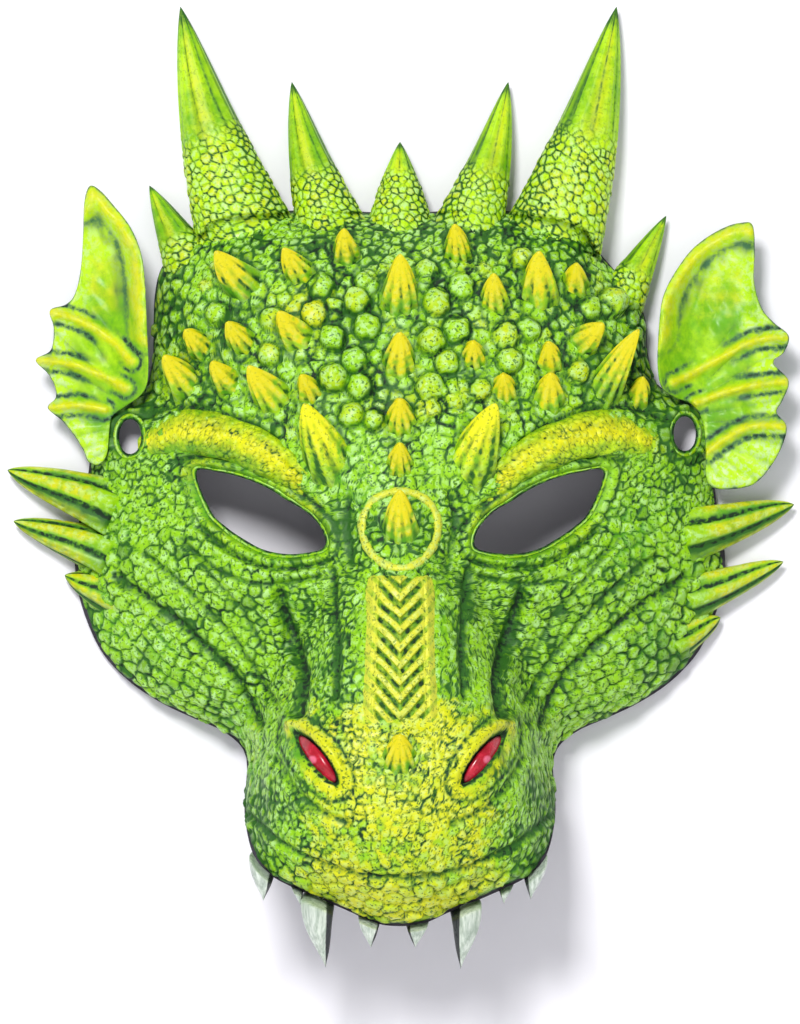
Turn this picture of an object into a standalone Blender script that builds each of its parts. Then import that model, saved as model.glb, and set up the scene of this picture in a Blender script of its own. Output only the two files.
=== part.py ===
# Dragon face mask in painted polyurethane foam, standing upright as it is worn.
# +Z is up and the face looks along -Y. The origin lies between the eyes, on the
# plane of the rear rim, so the mask reaches from y = 0 forwards to the snout.
# "left" and "right" are the wearer's: left is +X.
# Lengths are in millimetres and become metres where the vertices are made.
import math

import bmesh
import bpy
import numpy as np
from mathutils import Vector

MM = 0.001
GAP = 0.4                   # clearance between a glued-on piece and the shell
FOAM = 5.5                  # wall of the foam shell
REAR_CLEAR = 20.0           # how far the fitting cutter runs behind the rim

# Face outline about CENTRE: the crown's two sides differ a little, the jaw is the same on both.
CENTRE = (0.0, -10.0)
CROWN_LEFT = [
    (30, 101), (58, 97), (66, 87), (72.5, 79.5), (78, 72.5), (81.5, 64), (82, 54), (85, 43.5),
    (93, 39.5), (101.5, 34), (104, 23), (104, 12), (105.5, 0),
]
CROWN_RIGHT = [
    (30, 101), (58, 99), (67, 93), (74, 88), (79.5, 81), (81.5, 70), (81.8, 54), (84, 43),
    (91, 38.5), (98, 33), (102, 23), (103.5, 12), (106, 0),
]
JAW = [
    (107.5, -14), (106, -26), (102, -38), (97, -47), (88.5, -55.5), (78.5, -62), (69, -66.5),
    (57, -72), (50.5, -80), (51, -97), (48, -111), (42, -118), (30, -124), (18, -129), (8, -133.5),
]
CROWN_TOP, LIP = (0, 100), (0, -134.5)

# Openings and inlays in the shell, on the +X side.
EYE_OUTLINE = [
    (68, 14.7), (59.5, 14.6), (51, 12.6), (43, 9.4), (36, 5), (29.7, 0.8), (25, -4.8),
    (24, -10.6), (29, -12.8), (37, -13.6), (45, -12.3), (51.5, -9), (58, -4.4), (63.5, 1.5),
]
STRAP_HOLES = [(94.5, 27), (-89.5, 26)]     # centres of the holes that the head elastic is tied through
STRAP_HOLE_SIZE = (9.5, 13.5)
NOSTRIL = ((34, -71.5), (20.5, -88.5))      # outer and inner end of the slit
NOSTRIL_WIDTH = 7.5
NOSTRIL_DEPTH = 3.2         # recess in the foam, which stays about 2 mm thick behind it

# Facets: steps around the outline and rings between its centre and the edge.
STEPS = 76
RINGS = [0.14, 0.28, 0.42, 0.55, 0.67, 0.78, 0.87, 0.935, 0.975, 1.0]

LIME = (0.30, 0.62, 0.02)
YELLOW = (0.72, 0.74, 0.03)
TOOTH = (0.66, 0.72, 0.66)
CRIMSON = (0.50, 0.02, 0.06)
FIN = (0.22, 0.42, 0.16)


# ---------------------------------------------------------------- face surface

def blend(low, high, value):
    t = min(max((value - low) / (high - low), 0.0), 1.0)
    return t * t * (3.0 - 2.0 * t)


def hump(x, z, at, reach):
    return math.exp(-((x - at[0]) / reach[0]) ** 2 - ((z - at[1]) / reach[1]) ** 2)


def smooth_loop(points, per_span=4):
    """Catmull-Rom curve through a closed list of (x, z) points."""
    count = len(points)
    curve = []
    for i in range(count):
        p0, p1, p2, p3 = (Vector(points[(i + k) % count]) for k in (-1, 0, 1, 2))
        for step in range(per_span):
            t = step / per_span
            curve.append(0.5 * (2 * p1 + (p2 - p0) * t + (2 * p0 - 5 * p1 + 4 * p2 - p3) * t * t
                                + (3 * p1 - p0 - 3 * p2 + p3) * t ** 3))
    return curve


def edge_table():
    """Angle and radius of the outline about CENTRE, in rising order of angle."""
    left = CROWN_LEFT + JAW
    right = [(-x, z) for x, z in (CROWN_RIGHT + JAW)[::-1]]
    curve = smooth_loop([CROWN_TOP] + left + [LIP] + right)
    polar = sorted((math.atan2(p.y - CENTRE[1], p.x), math.hypot(p.x, p.y - CENTRE[1])) for p in curve)
    return [a for a, r in polar], [r for a, r in polar]


EDGE_ANGLES, EDGE_RADII = edge_table()


def edge_radius(angle):
    return float(np.interp(angle, EDGE_ANGLES, EDGE_RADII, period=2.0 * math.pi))


def rim(z):
    """Depth of the rear rim: flat behind the head, drawn forward under the snout."""
    return 56.0 * blend(-74.0, -116.0, z)


def relief(x, z):
    """Depth of the face in front of the rear plane, before its edge rolls back."""
    x = abs(x)
    middle = max(51.0 - 0.0028 * (z - 5.0) ** 2, 22.0)
    face = 7.0 + (middle - 7.0) * (1.0 - (x / 104.0) ** 2)
    bridge = 91.0 - (36.0 * abs(z / 100.0 + 1.0) ** 1.5 if z > -100 else 0.016 * (z + 100.0) ** 2)
    half_width = 24.0 + 36.0 * blend(0.0, -100.0, z)
    roundness = blend(-10.0, -100.0, z)
    across = max(1.0 - min(x / half_width, 1.0) ** (2.0 + roundness), 0.0) ** (1.0 - 0.4 * roundness)
    root = face - 12.0
    snout = root + max(bridge - root, 0.0) * across * blend(75.0, 10.0, z)
    depth = 0.5 * (face + snout + math.hypot(face - snout, 8.0))
    depth += 4.5 * hump(x, z, (28.0, -75.0), (11.0, 12.0))
    depth += 4.0 * hump(x, z, (54.0, -22.0), (26.0, 8.0))
    depth += 3.5 * hump(x, z, (56.0, 26.0), (26.0, 8.0))
    return depth - 5.0 * hump(x, z, (46.0, 1.0), (24.0, 11.0))


def roll(share):
    return max(1.0 - min(share, 1.0) ** 9, 0.0) ** 0.45


def skin(x, z):
    """Depth of the finished outer surface at (x, z)."""
    dx, dz = x - CENTRE[0], z - CENTRE[1]
    share = math.hypot(dx, dz) / edge_radius(math.atan2(dz, dx))
    return rim(z) + (relief(x, z) - rim(z)) * roll(share)


# ------------------------------------------------------------------- modelling

def to_world(x, depth, z):
    return (x * MM, -depth * MM, z * MM)


def principled(name, colour, roughness=0.6):
    material = bpy.data.materials.get(name)
    if material is None:
        material = bpy.data.materials.new(name)
        material.use_nodes = True
        shader = material.node_tree.nodes["Principled BSDF"]
        shader.inputs["Base Color"].default_value = (*colour, 1.0)
        shader.inputs["Roughness"].default_value = roughness
        material.diffuse_color = (*colour, 1.0)
    return material


def link(name, bm, colour, smooth=True):
    """Turn a bmesh into an object, with its faces outwards and its own material."""
    bmesh.ops.triangulate(bm, faces=[f for f in bm.faces if len(f.verts) == 4], quad_method='FIXED')
    bmesh.ops.recalc_face_normals(bm, faces=bm.faces)
    mesh = bpy.data.meshes.new(name)
    bm.to_mesh(mesh)
    bm.free()
    if smooth:
        mesh.shade_smooth()
        mesh.set_sharp_from_angle(angle=math.radians(45))
    piece = bpy.data.objects.new(name, mesh)
    bpy.context.collection.objects.link(piece)
    mesh.materials.append(principled(name, colour))
    return piece


def bridge(bm, low, high):
    """Faces between two loops of vertices; either may be a single vertex."""
    if len(low) == 1:
        low, high = high, low
    for i in range(len(low)):
        k = (i + 1) % len(low)
        if len(high) == 1:
            bm.faces.new((low[i], low[k], high[0]))
        else:
            bm.faces.new((low[i], low[k], high[k], high[i]))


def loft(bm, rings, closed=False):
    """Bridge rings of (x, depth, z) points, with flat ends unless closed or a tip."""
    loops = [[bm.verts.new(to_world(*p)) for p in ring] for ring in rings]
    for low, high in zip(loops, loops[1:]):
        bridge(bm, low, high)
    if closed:
        bridge(bm, loops[-1], loops[0])
        return
    for end in (loops[0], loops[-1]):
        if len(end) > 1:
            bm.faces.new(end)


def cutter(piece):
    piece.hide_render = True
    piece.display_type = 'WIRE'
    return piece


def cut(piece, tool):
    difference = piece.modifiers.new("fit " + tool.name, 'BOOLEAN')
    difference.operation = 'DIFFERENCE'
    difference.solver = 'EXACT'
    difference.object = tool


def face_rings(inset, shares):
    """Rings of the face surface moved inwards by inset, in the outline's own steps."""
    rings = []
    for share in shares:
        ring = []
        for i in range(STEPS):
            angle = 2.0 * math.pi * i / STEPS
            radius = (edge_radius(angle) - inset) * share
            x = CENTRE[0] + radius * math.cos(angle)
            z = CENTRE[1] + radius * math.sin(angle)
            height = relief(x, z) - inset - rim(z)
            ring.append((x, rim(z) + height * roll(share), z))
        rings.append(ring)
    return rings


def fitting_cutter():
    """The shell's outer form, filled to behind the rim and larger all round by GAP."""
    bm = bmesh.new()
    rings = face_rings(-GAP, RINGS)
    nose = (CENTRE[0], relief(*CENTRE) + GAP, CENTRE[1])
    back = [(x, -REAR_CLEAR, z) for x, depth, z in rings[-1]]
    loft(bm, [back] + rings[::-1] + [[nose]])
    return cutter(link("fitting_cutter", bm, LIME))


def prism(name, outline, front, rear):
    bm = bmesh.new()
    loft(bm, [[(x, front, z) for x, z in outline], [(x, rear, z) for x, z in outline]])
    return link(name, bm, LIME, smooth=False)


def mirrored(points, side):
    return [(side * x, z) for x, z in points]


def oval(centre, size, steps=16):
    turn = [2.0 * math.pi * i / steps for i in range(steps)]
    return [(centre[0] + 0.5 * size[0] * math.cos(a), centre[1] + 0.5 * size[1] * math.sin(a)) for a in turn]


def almond(ends, width, steps=6):
    """Pointed oval between two ends, as (x, z) points."""
    start, stop = Vector(ends[0]), Vector(ends[1])
    along = stop - start
    across = Vector((-along.y, along.x)).normalized() * width * 0.5
    side = [math.sin(math.pi * i / steps) for i in range(1, steps)]
    up = [start + along * i / steps + across * side[i - 1] for i in range(1, steps)]
    down = [start + along * i / steps - across * side[i - 1] for i in range(1, steps)]
    return [tuple(p) for p in [start] + up + [stop] + down[::-1]]


def face_shell():
    """Foam moulding: outer skin, flat rear rim, inner skin, then the holes cut through it."""
    bm = bmesh.new()
    outer = face_rings(0.0, RINGS)
    inner = face_rings(FOAM, RINGS)
    front = [[(CENTRE[0], relief(*CENTRE), CENTRE[1])]]
    hollow = [[(CENTRE[0], relief(*CENTRE) - FOAM, CENTRE[1])]]
    rings = outer[::-1] + front
    loops = [[bm.verts.new(to_world(*p)) for p in ring] for ring in rings]
    back_loops = [[bm.verts.new(to_world(*p)) for p in ring] for ring in inner[::-1] + hollow]
    for skin_loops in (loops, back_loops):
        for low, high in zip(skin_loops, skin_loops[1:]):
            bridge(bm, low, high)
    bridge(bm, loops[0], back_loops[0])
    shell = link("face_shell", bm, LIME)
    for side in (1, -1):
        cut(shell, cutter(prism("eye_cutter", smooth_loop(mirrored(EYE_OUTLINE, side), 2), 120, -20)))
        cut(shell, cutter(slit_plug("nostril_cutter", side, NOSTRIL_WIDTH, 12.0, -NOSTRIL_DEPTH)))
    for centre in STRAP_HOLES:
        cut(shell, cutter(prism("strap_hole_cutter", oval(centre, STRAP_HOLE_SIZE), 60, -20)))
    return shell


def slit_plug(name, side, width, front, back, colour=CRIMSON):
    """Almond-shaped plug; front and back are heights above the skin, which it follows."""
    slit = almond(mirrored(NOSTRIL, side), width)
    middle = [0.5 * (a + b) for a, b in zip(*mirrored(NOSTRIL, side))]
    ends = [[(x, skin(x, z) + height, z) for x, z in slit] for height in (front, back)]
    caps = [[(middle[0], skin(*middle) + height, middle[1])] for height in (front, back)]
    bm = bmesh.new()
    loft(bm, [caps[0], ends[0], ends[1], caps[1]])
    return link(name, bm, colour)


# ---------------------------------------------------------------- glued-on pieces

def fit(piece, filled):
    cut(piece, filled)
    return piece


def thorn(name, base, tip, width, rise, filled, colour=YELLOW, sides=10):
    """Leaning spike: oval rings parallel to the face, from under the skin up to a blunt tip."""
    lean = (Vector(tip) - Vector(base)).normalized()
    foot = skin(*base) - 0.4 * width
    point = max(skin(*tip), skin(*base)) + rise
    bm = bmesh.new()
    rings = []
    for t, size in ((0.0, 1.06), (0.35, 0.92), (0.62, 0.66), (0.84, 0.36), (0.97, 0.15)):
        ring = []
        for i in range(sides):
            a = 2.0 * math.pi * i / sides
            across, along = 0.5 * width * size * math.cos(a), 0.68 * width * size * math.sin(a)
            x = base[0] + (tip[0] - base[0]) * t - lean.y * across + lean.x * along
            z = base[1] + (tip[1] - base[1]) * t + lean.x * across + lean.y * along
            ring.append((x, foot + (point - foot) * t, z))
        rings.append(ring)
    rings.append([(tip[0], point, tip[1])])
    loft(bm, rings)
    return fit(link(name, bm, colour), filled)


def horn(name, stations, filled, colour, sides=12):
    """Tapering horn; a station is (x, depth, z, half width, half thickness) on its axis."""
    bm = bmesh.new()
    rings = []
    for i, (x, depth, z, wide, thick) in enumerate(stations):
        ahead = stations[min(i + 1, len(stations) - 1)]
        behind = stations[max(i - 1, 0)]
        along = Vector((ahead[0] - behind[0], ahead[2] - behind[2])).normalized()
        across = Vector((along.y, -along.x))
        ring = []
        for k in range(sides):
            a = 2.0 * math.pi * k / sides
            ring.append((x + across.x * wide * math.cos(a), depth + thick * math.sin(a),
                         z + across.y * wide * math.cos(a)))
        rings.append(ring)
    loft(bm, rings)
    return fit(link(name, bm, colour), filled)


def taper(base, tip, wide, thick, root_depth, tip_depth, bow=0.0,
          shares=(0.0, 0.25, 0.5, 0.72, 0.88, 0.97, 1.0)):
    """Stations of a horn from its base to its tip, bowed sideways by bow at half way."""
    along = Vector((tip[0] - base[0], tip[1] - base[1]))
    across = Vector((along.y, -along.x)).normalized()
    stations = []
    for t in shares:
        size = (1.0 - t) ** 0.85 + 0.06
        shift = across * bow * math.sin(math.pi * t)
        stations.append((base[0] + along.x * t + shift.x, root_depth + (tip_depth - root_depth) * t,
                         base[1] + along.y * t + shift.y, wide * size, thick * size))
    return stations


# Horns on the crown: base centre inside the shell, tip, half width, half thickness, bow.
HORNS = {
    "big_left": ((48.5, 86), (72, 169), 16.5, 12.5, 2.0),
    "big_right": ((-48.5, 86), (-73, 169), 16.5, 12.5, -2.0),
    "mid_left": ((20.5, 90), (36, 144), 11.5, 10.5, 1.5),
    "mid_right": ((-20.5, 90), (-36, 144), 11.5, 10.5, -1.5),
    "small_left": ((71.5, 68), (88.5, 99.5), 8.2, 7.0, 0.0),
    "small_right": ((-68.5, 80.5), (-83.3, 109.5), 8.8, 7.0, 0.0),
    "centre": ((0, 90), (0, 124), 12.0, 10.0, 0.0),
}
HORN_TIP_DEPTH = 3.0


def horns(filled):
    for name, (base, tip, wide, thick, bow) in HORNS.items():
        stations = taper(base, tip, wide, thick, thick + 1.5, HORN_TIP_DEPTH, bow)
        horn(f"horn_{name}", stations, filled, LIME)


# Ear fins: the point that each one fans out from, and its outline with the tips of its three ribs.
EARS = {
    "left": ((103, 45), [
        (85.5, 60), (86.5, 70), (88.5, 76), (92, 82), (96.5, 88), (102, 92.5), (108, 95.8), (113, 97.2),
        (117, 96.5), (117.8, 88), (117.6, 78), (120, 69), (124, 64), (129, 59.5), (127.5, 54),
        (124, 50.5), (129, 44.5), (127, 38), (125, 34), (128.3, 29.3), (126.5, 22), (122, 14.5),
        (117, 9.8), (110, 8.4), (104, 8.8), (101.6, 12), (101.4, 20), (100.6, 30), (97, 36.5),
        (91, 39), (86.5, 42.5), (85.2, 50)]),
    "right": ((-98, 45), [
        (-83.6, 60), (-84, 70), (-84.6, 80), (-86, 88), (-89.5, 96), (-95, 103), (-99.5, 108),
        (-103, 109.5), (-104.8, 104), (-105.2, 94), (-106, 82), (-108, 73.5), (-111, 70), (-116.3, 68),
        (-115, 62), (-116, 54.8), (-121, 51.5), (-117, 47), (-114.6, 42.5), (-114.4, 38.8),
        (-117, 35.5), (-112, 31), (-108, 26), (-105, 21), (-103.5, 17.5), (-100, 16.5), (-97.2, 20),
        (-96.4, 28), (-95.4, 32.5), (-91, 36), (-86.5, 39), (-83.8, 43), (-83.2, 50)]),
}
EAR_WALL = 4.0
EAR_SHARES = [0.4, 0.75, 1.0]


def ear_front(x, z):
    """Cupped fin: its inner rim and its outer edge both come forward."""
    x = abs(x)
    cup = 0.045 * (x - 102.0) ** 2 if x < 102 else 0.012 * (x - 102.0) ** 2
    return 11.0 + cup + 0.0012 * (z - 50.0) ** 2


def ear(label, filled):
    root, outline = EARS[label]
    front = [(*root, ear_front(*root))]
    loops = [front]
    for share in EAR_SHARES:
        ring = [(root[0] + (x - root[0]) * share, root[1] + (z - root[1]) * share) for x, z in outline]
        loops.append([(x, z, ear_front(x, z)) for x, z in ring])
    loops += [[(x, z, depth - EAR_WALL) for x, z, depth in ring] for ring in loops[::-1]]
    bm = bmesh.new()
    loft(bm, [[(x, depth, z) for x, z, depth in ring] for ring in loops])
    return fit(link(f"ear_{label}", bm, FIN), filled)


# Ridges that follow the skin: (x, z, half height, how far they stand proud).
BROW = [
    (84, 23, 1.4, 1.0), (78, 26, 4.2, 3.4), (70, 27.4, 6.0, 5.0), (60, 26.2, 6.6, 6.0), (50, 22.8, 6.2, 6.0),
    (41, 17.6, 5.2, 5.4), (34.5, 12, 4.0, 3.8), (29.5, 7, 1.6, 1.2),
]
EYE_RING = ((0, -4.5), 12.6, 1.4)       # centre, radius and half thickness of the ring on the bridge
NOSE_RIDGE_TOP, NOSE_RIDGE_FOOT = -20.5, -70.5
NOSE_RIDGE_HALF_WIDTH = 13.0
NOSE_RIDGE_PROUD = 3.2


def brow_ridge(side, label, filled, sides=10):
    bm = bmesh.new()
    rings = []
    for i, (x, z, high, proud) in enumerate(BROW):
        ahead, behind = BROW[min(i + 1, len(BROW) - 1)], BROW[max(i - 1, 0)]
        along = Vector((ahead[0] - behind[0], ahead[1] - behind[1])).normalized()
        across = Vector((-along.y, along.x))
        ring = []
        for k in range(sides):
            a = 2.0 * math.pi * k / sides
            px, pz = x + across.x * high * math.cos(a), z + across.y * high * math.cos(a)
            ring.append((side * px, skin(px, pz) + proud * math.sin(a), pz))
        rings.append(ring)
    loft(bm, rings)
    return fit(link(f"brow_ridge_{label}", bm, YELLOW), filled)


def bridge_ring(filled, steps=28, sides=6):
    """Thin raised circle around the spike between the eyes."""
    (x0, z0), radius, thick = EYE_RING
    bm = bmesh.new()
    rings = []
    for i in range(steps):
        a = 2.0 * math.pi * i / steps
        ring = []
        for k in range(sides):
            b = 2.0 * math.pi * k / sides
            reach = radius + thick * math.cos(b)
            x, z = x0 + reach * math.cos(a), z0 + reach * math.sin(a)
            ring.append((x, skin(x, z) + 1.3 * thick * math.sin(b), z))
        rings.append(ring)
    loft(bm, rings, closed=True)
    return fit(link("bridge_ring", bm, YELLOW), filled)


def nose_ridge(filled, rows=9):
    """Plate down the bridge of the nose, roofed slightly along its middle."""
    bm = bmesh.new()
    across = (-1.0, -0.86, -0.5, 0.0, 0.5, 0.86, 1.0)
    rings = []
    for i in range(rows):
        z = NOSE_RIDGE_TOP + (NOSE_RIDGE_FOOT - NOSE_RIDGE_TOP) * i / (rows - 1)
        top = [(NOSE_RIDGE_HALF_WIDTH * u, skin(NOSE_RIDGE_HALF_WIDTH * u, z) + NOSE_RIDGE_PROUD
                * (1.0 - 0.3 * abs(u) - 0.35 * (abs(u) > 0.95)), z) for u in across]
        under = [(x, skin(x, z) - 3.0, z) for x, depth, z in top[::-1]]
        rings.append(top + under)
    loft(bm, rings)
    return fit(link("nose_ridge", bm, YELLOW), filled)


def nostril(side, label):
    """Crimson lining lying in the recess, clear of its walls and floor."""
    return slit_plug(f"nostril_{label}", side, NOSTRIL_WIDTH - 3.0 * GAP, -1.2, GAP - NOSTRIL_DEPTH)


# Teeth hang from the lip: root, tip, half width.
TEETH = {
    "fang_left": ((20.5, -118), (20, -149.5), 5.4),
    "fang_right": ((-26, -116), (-24.5, -149), 5.8),
    "tooth_outer_left": ((43.8, -106), (43, -126.5), 4.6),
    "tooth_outer_right": ((-43.6, -106), (-45, -127), 5.0),
    "tooth_side_left": ((34, -112), (34.2, -128), 3.6),
    "tooth_side_right": ((-34, -112), (-32.8, -128.5), 3.0),
    "tooth_front_left": ((5, -126), (5, -142.5), 4.4),
    "tooth_front_right": ((-9, -126), (-9.6, -142.5), 4.0),
}
TOOTH_DEPTH = 68.0
TOOTH_TIP_DEPTH = 66.0


def teeth(filled):
    for name, (root, tip, wide) in TEETH.items():
        horn(name, taper(root, tip, wide, 0.85 * wide, TOOTH_DEPTH, TOOTH_TIP_DEPTH), filled, TOOTH, sides=8)


# Cheek spikes at the sides: root inside the shell, tip, half width, half thickness.
CHEEK_SPIKES = {
    "upper_left": ((93, -7.5), (131, 3.5), 8.2, 6.5),
    "upper_right": ((-93, 1.5), (-130.5, 15), 8.6, 6.5),
    "middle_left": ((94, -28), (127.5, -15.5), 6.8, 5.5),
    "middle_right": ((-95, -13.5), (-128.5, -2), 7.4, 5.5),
    "lower_left": ((91, -41), (105, -34), 4.8, 4.5),
    "lower_right": ((-90, -29), (-110, -20), 5.8, 5.0),
}
CHEEK_TIP_DEPTH = 3.5


def cheek_spikes(filled):
    for name, (root, tip, wide, thick) in CHEEK_SPIKES.items():
        stations = taper(root, tip, wide, thick, thick + 2.5, CHEEK_TIP_DEPTH)
        horn(f"cheek_spike_{name}", stations, filled, YELLOW, sides=10)


# Thorns on the crown: base, tip and width. The middle ones lie on the centre line.
CENTRE_THORNS = [((0, 68), (0, 86), 11), ((0, 47), (0, 60), 10), ((0, 29), (0, 38), 9), ((0, 14.5), (0, 23.5), 8)]
RIGHT_THORNS = [
    ((-50.5, 74.5), (-61, 87), 11), ((-32, 78.5), (-38.5, 88), 8.5), ((-18, 84), (-18.5, 94.5), 8),
    ((-33, 56.5), (-40, 67), 9.5), ((-51, 55.5), (-57, 63.5), 8.5), ((-70, 42), (-78, 52.5), 10),
    ((-64.5, 54.5), (-71, 61), 8), ((-56, 42), (-62, 50.5), 8.5), ((-40.5, 36.5), (-50, 49), 10.5),
    ((-28.8, 38.8), (-32.5, 46), 7.5),
]
LEFT_THORNS = [
    ((19.5, 85), (18, 96), 8), ((31, 68.5), (31, 79.5), 8.5), ((45.5, 70.5), (46, 87), 11),
    ((57.8, 74.5), (58.4, 83), 8), ((24.8, 50.5), (24, 57), 7.5), ((49.5, 48.5), (49, 57), 8),
    ((59.5, 56), (67, 63), 9), ((34.8, 39.5), (34, 46), 8), ((48.5, 36.5), (49.8, 46.5), 9.5),
    ((66.5, 40.5), (79, 61.5), 9.5), ((78.2, 38), (80.5, 45.5), 7),
]
BROW_HORN = ((23, 15), (31, 35.5), 14.5)


def crown_thorns(filled):
    for i, (base, tip, width) in enumerate(CENTRE_THORNS, 1):
        thorn(f"crown_thorn_{i}", base, tip, width, 5.0, filled)
    for label, row in (("right", RIGHT_THORNS), ("left", LEFT_THORNS)):
        for i, (base, tip, width) in enumerate(row, 1):
            thorn(f"thorn_{label}_{i:02d}", base, tip, width, 4.0, filled)
    for side, label in ((1, "left"), (-1, "right")):
        base, tip = mirrored(BROW_HORN[:2], side)
        thorn(f"brow_horn_{label}", base, tip, BROW_HORN[2], 7.0, filled, sides=12)


def main():
    for piece in list(bpy.data.objects):
        bpy.data.objects.remove(piece, do_unlink=True)
    filled = fitting_cutter()
    face_shell()
    horns(filled)
    for side, label in ((1, "left"), (-1, "right")):
        ear(label, filled)
        brow_ridge(side, label, filled)
        nostril(side, label)
    bridge_ring(filled)
    thorn("bridge_spike", (0, -6), (0, 7.5), 12.5, 5.0, filled, sides=12)
    nose_ridge(filled)
    thorn("nose_tip_spike", (0, -82), (0, -72.5), 10, 5.0, filled)
    teeth(filled)
    cheek_spikes(filled)
    crown_thorns(filled)


main()
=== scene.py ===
# Dragon face mask: the painted foam skin, its horns, thorns, ears and teeth.
# Sizes are in millimetres as (x, depth, z): depth is how far a point stands in front
# of the rear rim. setPoints turns them into metres with the face towards -Y.
import math

import bpy
import numpy as np
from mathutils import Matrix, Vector, kdtree


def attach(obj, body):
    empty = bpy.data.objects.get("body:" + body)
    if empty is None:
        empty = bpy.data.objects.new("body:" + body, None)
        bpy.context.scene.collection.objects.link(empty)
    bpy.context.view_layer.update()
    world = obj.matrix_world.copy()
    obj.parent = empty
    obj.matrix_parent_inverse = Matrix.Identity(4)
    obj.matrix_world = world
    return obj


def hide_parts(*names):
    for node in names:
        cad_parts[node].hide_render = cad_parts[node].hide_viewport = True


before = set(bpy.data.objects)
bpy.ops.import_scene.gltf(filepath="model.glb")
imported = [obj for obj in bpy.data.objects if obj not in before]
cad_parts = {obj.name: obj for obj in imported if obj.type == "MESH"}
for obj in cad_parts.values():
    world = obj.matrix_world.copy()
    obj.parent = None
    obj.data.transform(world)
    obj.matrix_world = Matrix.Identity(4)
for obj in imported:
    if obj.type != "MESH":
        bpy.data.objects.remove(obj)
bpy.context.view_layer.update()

mm = 0.001
scene = bpy.context.scene


# blending, noise and curves

def blend(low, high, value):
    t = np.clip((value - low) / (high - low), 0.0, 1.0)
    return t * t * (3.0 - 2.0 * t)


def bell(distance, width):
    return np.exp(-(distance / width) ** 2)


def ripple(points, wavelength, seed, waves=7):
    # soft irregular field between about -1 and 1
    rng = np.random.RandomState(seed)
    total = np.zeros(len(points))
    for _ in range(waves):
        way = rng.normal(size=points.shape[1])
        way *= rng.uniform(0.7, 1.5) / np.linalg.norm(way)
        total += np.sin(points @ way * 2.0 * math.pi / wavelength + rng.uniform(0.0, 6.283))
    return total / math.sqrt(waves)


def smoothCurve(points, perSpan=6, closed=True):
    # catmull-Rom curve through points
    p = np.array(points, float)
    count = len(p)
    spans = count if closed else count - 1
    at = (lambda i: p[i % count]) if closed else (lambda i: p[min(max(i, 0), count - 1)])
    curve = []
    for i in range(spans):
        a, b, c, d = at(i - 1), at(i), at(i + 1), at(i + 2)
        for step in range(perSpan):
            t = step / perSpan
            curve.append(0.5 * (2 * b + (c - a) * t + (2 * a - 5 * b + 4 * c - d) * t * t
                                + (3 * b - a - 3 * c + d) * t ** 3))
    if not closed:
        curve.append(p[-1])
    return np.array(curve)


def nearLine(x, z, line, closed=False):
    # distance to a polyline, and the nearest point on it
    line = np.array(line, float)
    ends = np.roll(line, -1, axis=0) if closed else line[1:]
    starts = line if closed else line[:-1]
    best = np.full(len(x), 1e9)
    spot = np.zeros((len(x), 2))
    for a, b in zip(starts, ends):
        ab = b - a
        t = np.clip(((x - a[0]) * ab[0] + (z - a[1]) * ab[1]) / max(ab @ ab, 1e-9), 0.0, 1.0)
        px, pz = a[0] + ab[0] * t, a[1] + ab[1] * t
        d = np.hypot(x - px, z - pz)
        near = d < best
        best[near] = d[near]
        spot[near, 0], spot[near, 1] = px[near], pz[near]
    return best, spot


def inside(x, z, loop):
    # whether points lie inside a closed loop
    odd = np.zeros(len(x), bool)
    for (ax, az), (bx, bz) in zip(loop, np.roll(loop, -1, axis=0)):
        if az != bz:
            crosses = (az > z) != (bz > z)
            odd ^= crosses & (x < (bx - ax) * (z - az) / (bz - az) + ax)
    return odd


# face outline and the form of the foam

faceForm = {
    "centre": (0.0, -10.0),
    "foam": 5.5,
    "crownLeft": [(30, 101), (58, 97), (66, 87), (72.5, 79.5), (78, 72.5), (81.5, 64), (82, 54), (85, 43.5),
                  (93, 39.5), (101.5, 34), (104, 23), (104, 12), (105.5, 0)],
    "crownRight": [(30, 101), (58, 99), (67, 93), (74, 88), (79.5, 81), (81.5, 70), (81.8, 54), (84, 43),
                   (91, 38.5), (98, 33), (102, 23), (103.5, 12), (106, 0)],
    "jaw": [(107.5, -14), (106, -26), (102, -38), (97, -47), (88.5, -55.5), (78.5, -62), (69, -66.5),
            (57, -72), (50.5, -80), (51, -97), (48, -111), (42, -118), (30, -124), (18, -129), (8, -133.5)],
    "crownTop": (0, 100),
    "lip": (0, -134.5),
    "lipDepth": 56.0,
    "jawTurn": (-74.0, -116.0),
    "mid": 51.0, "midFall": 0.0028, "midLeast": 22.0,
    "side": 7.0, "halfFace": 104.0,
    "snout": {"proud": 91.0, "rise": 36.0, "under": 0.016, "halfTop": 24.0, "halfMore": 36.0, "sunk": 12.0,
              "soften": 8.0},
    # swellings and hollows: height, place and reach
    "bulges": [(4.5, (28.0, -75.0), (11.0, 12.0)), (4.0, (54.0, -22.0), (26.0, 8.0)),
               (3.5, (56.0, 26.0), (26.0, 8.0)), (-5.0, (46.0, 1.0), (24.0, 11.0))],
}
eyeShape = [(68, 14.7), (59.5, 14.6), (51, 12.6), (43, 9.4), (36, 5), (29.7, 0.8), (25, -4.8),
            (24, -10.6), (29, -12.8), (37, -13.6), (45, -12.3), (51.5, -9), (58, -4.4), (63.5, 1.5)]
strapHoles = {"spots": [(94.5, 27), (-89.5, 26)], "size": (9.5, 13.5)}
nostrilShape = {"outer": (34, -71.5), "inner": (20.5, -88.5), "width": 6.3, "recess": 2.9}


def mirrored(points, side):
    return [(side * x, z) for x, z in points]


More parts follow.
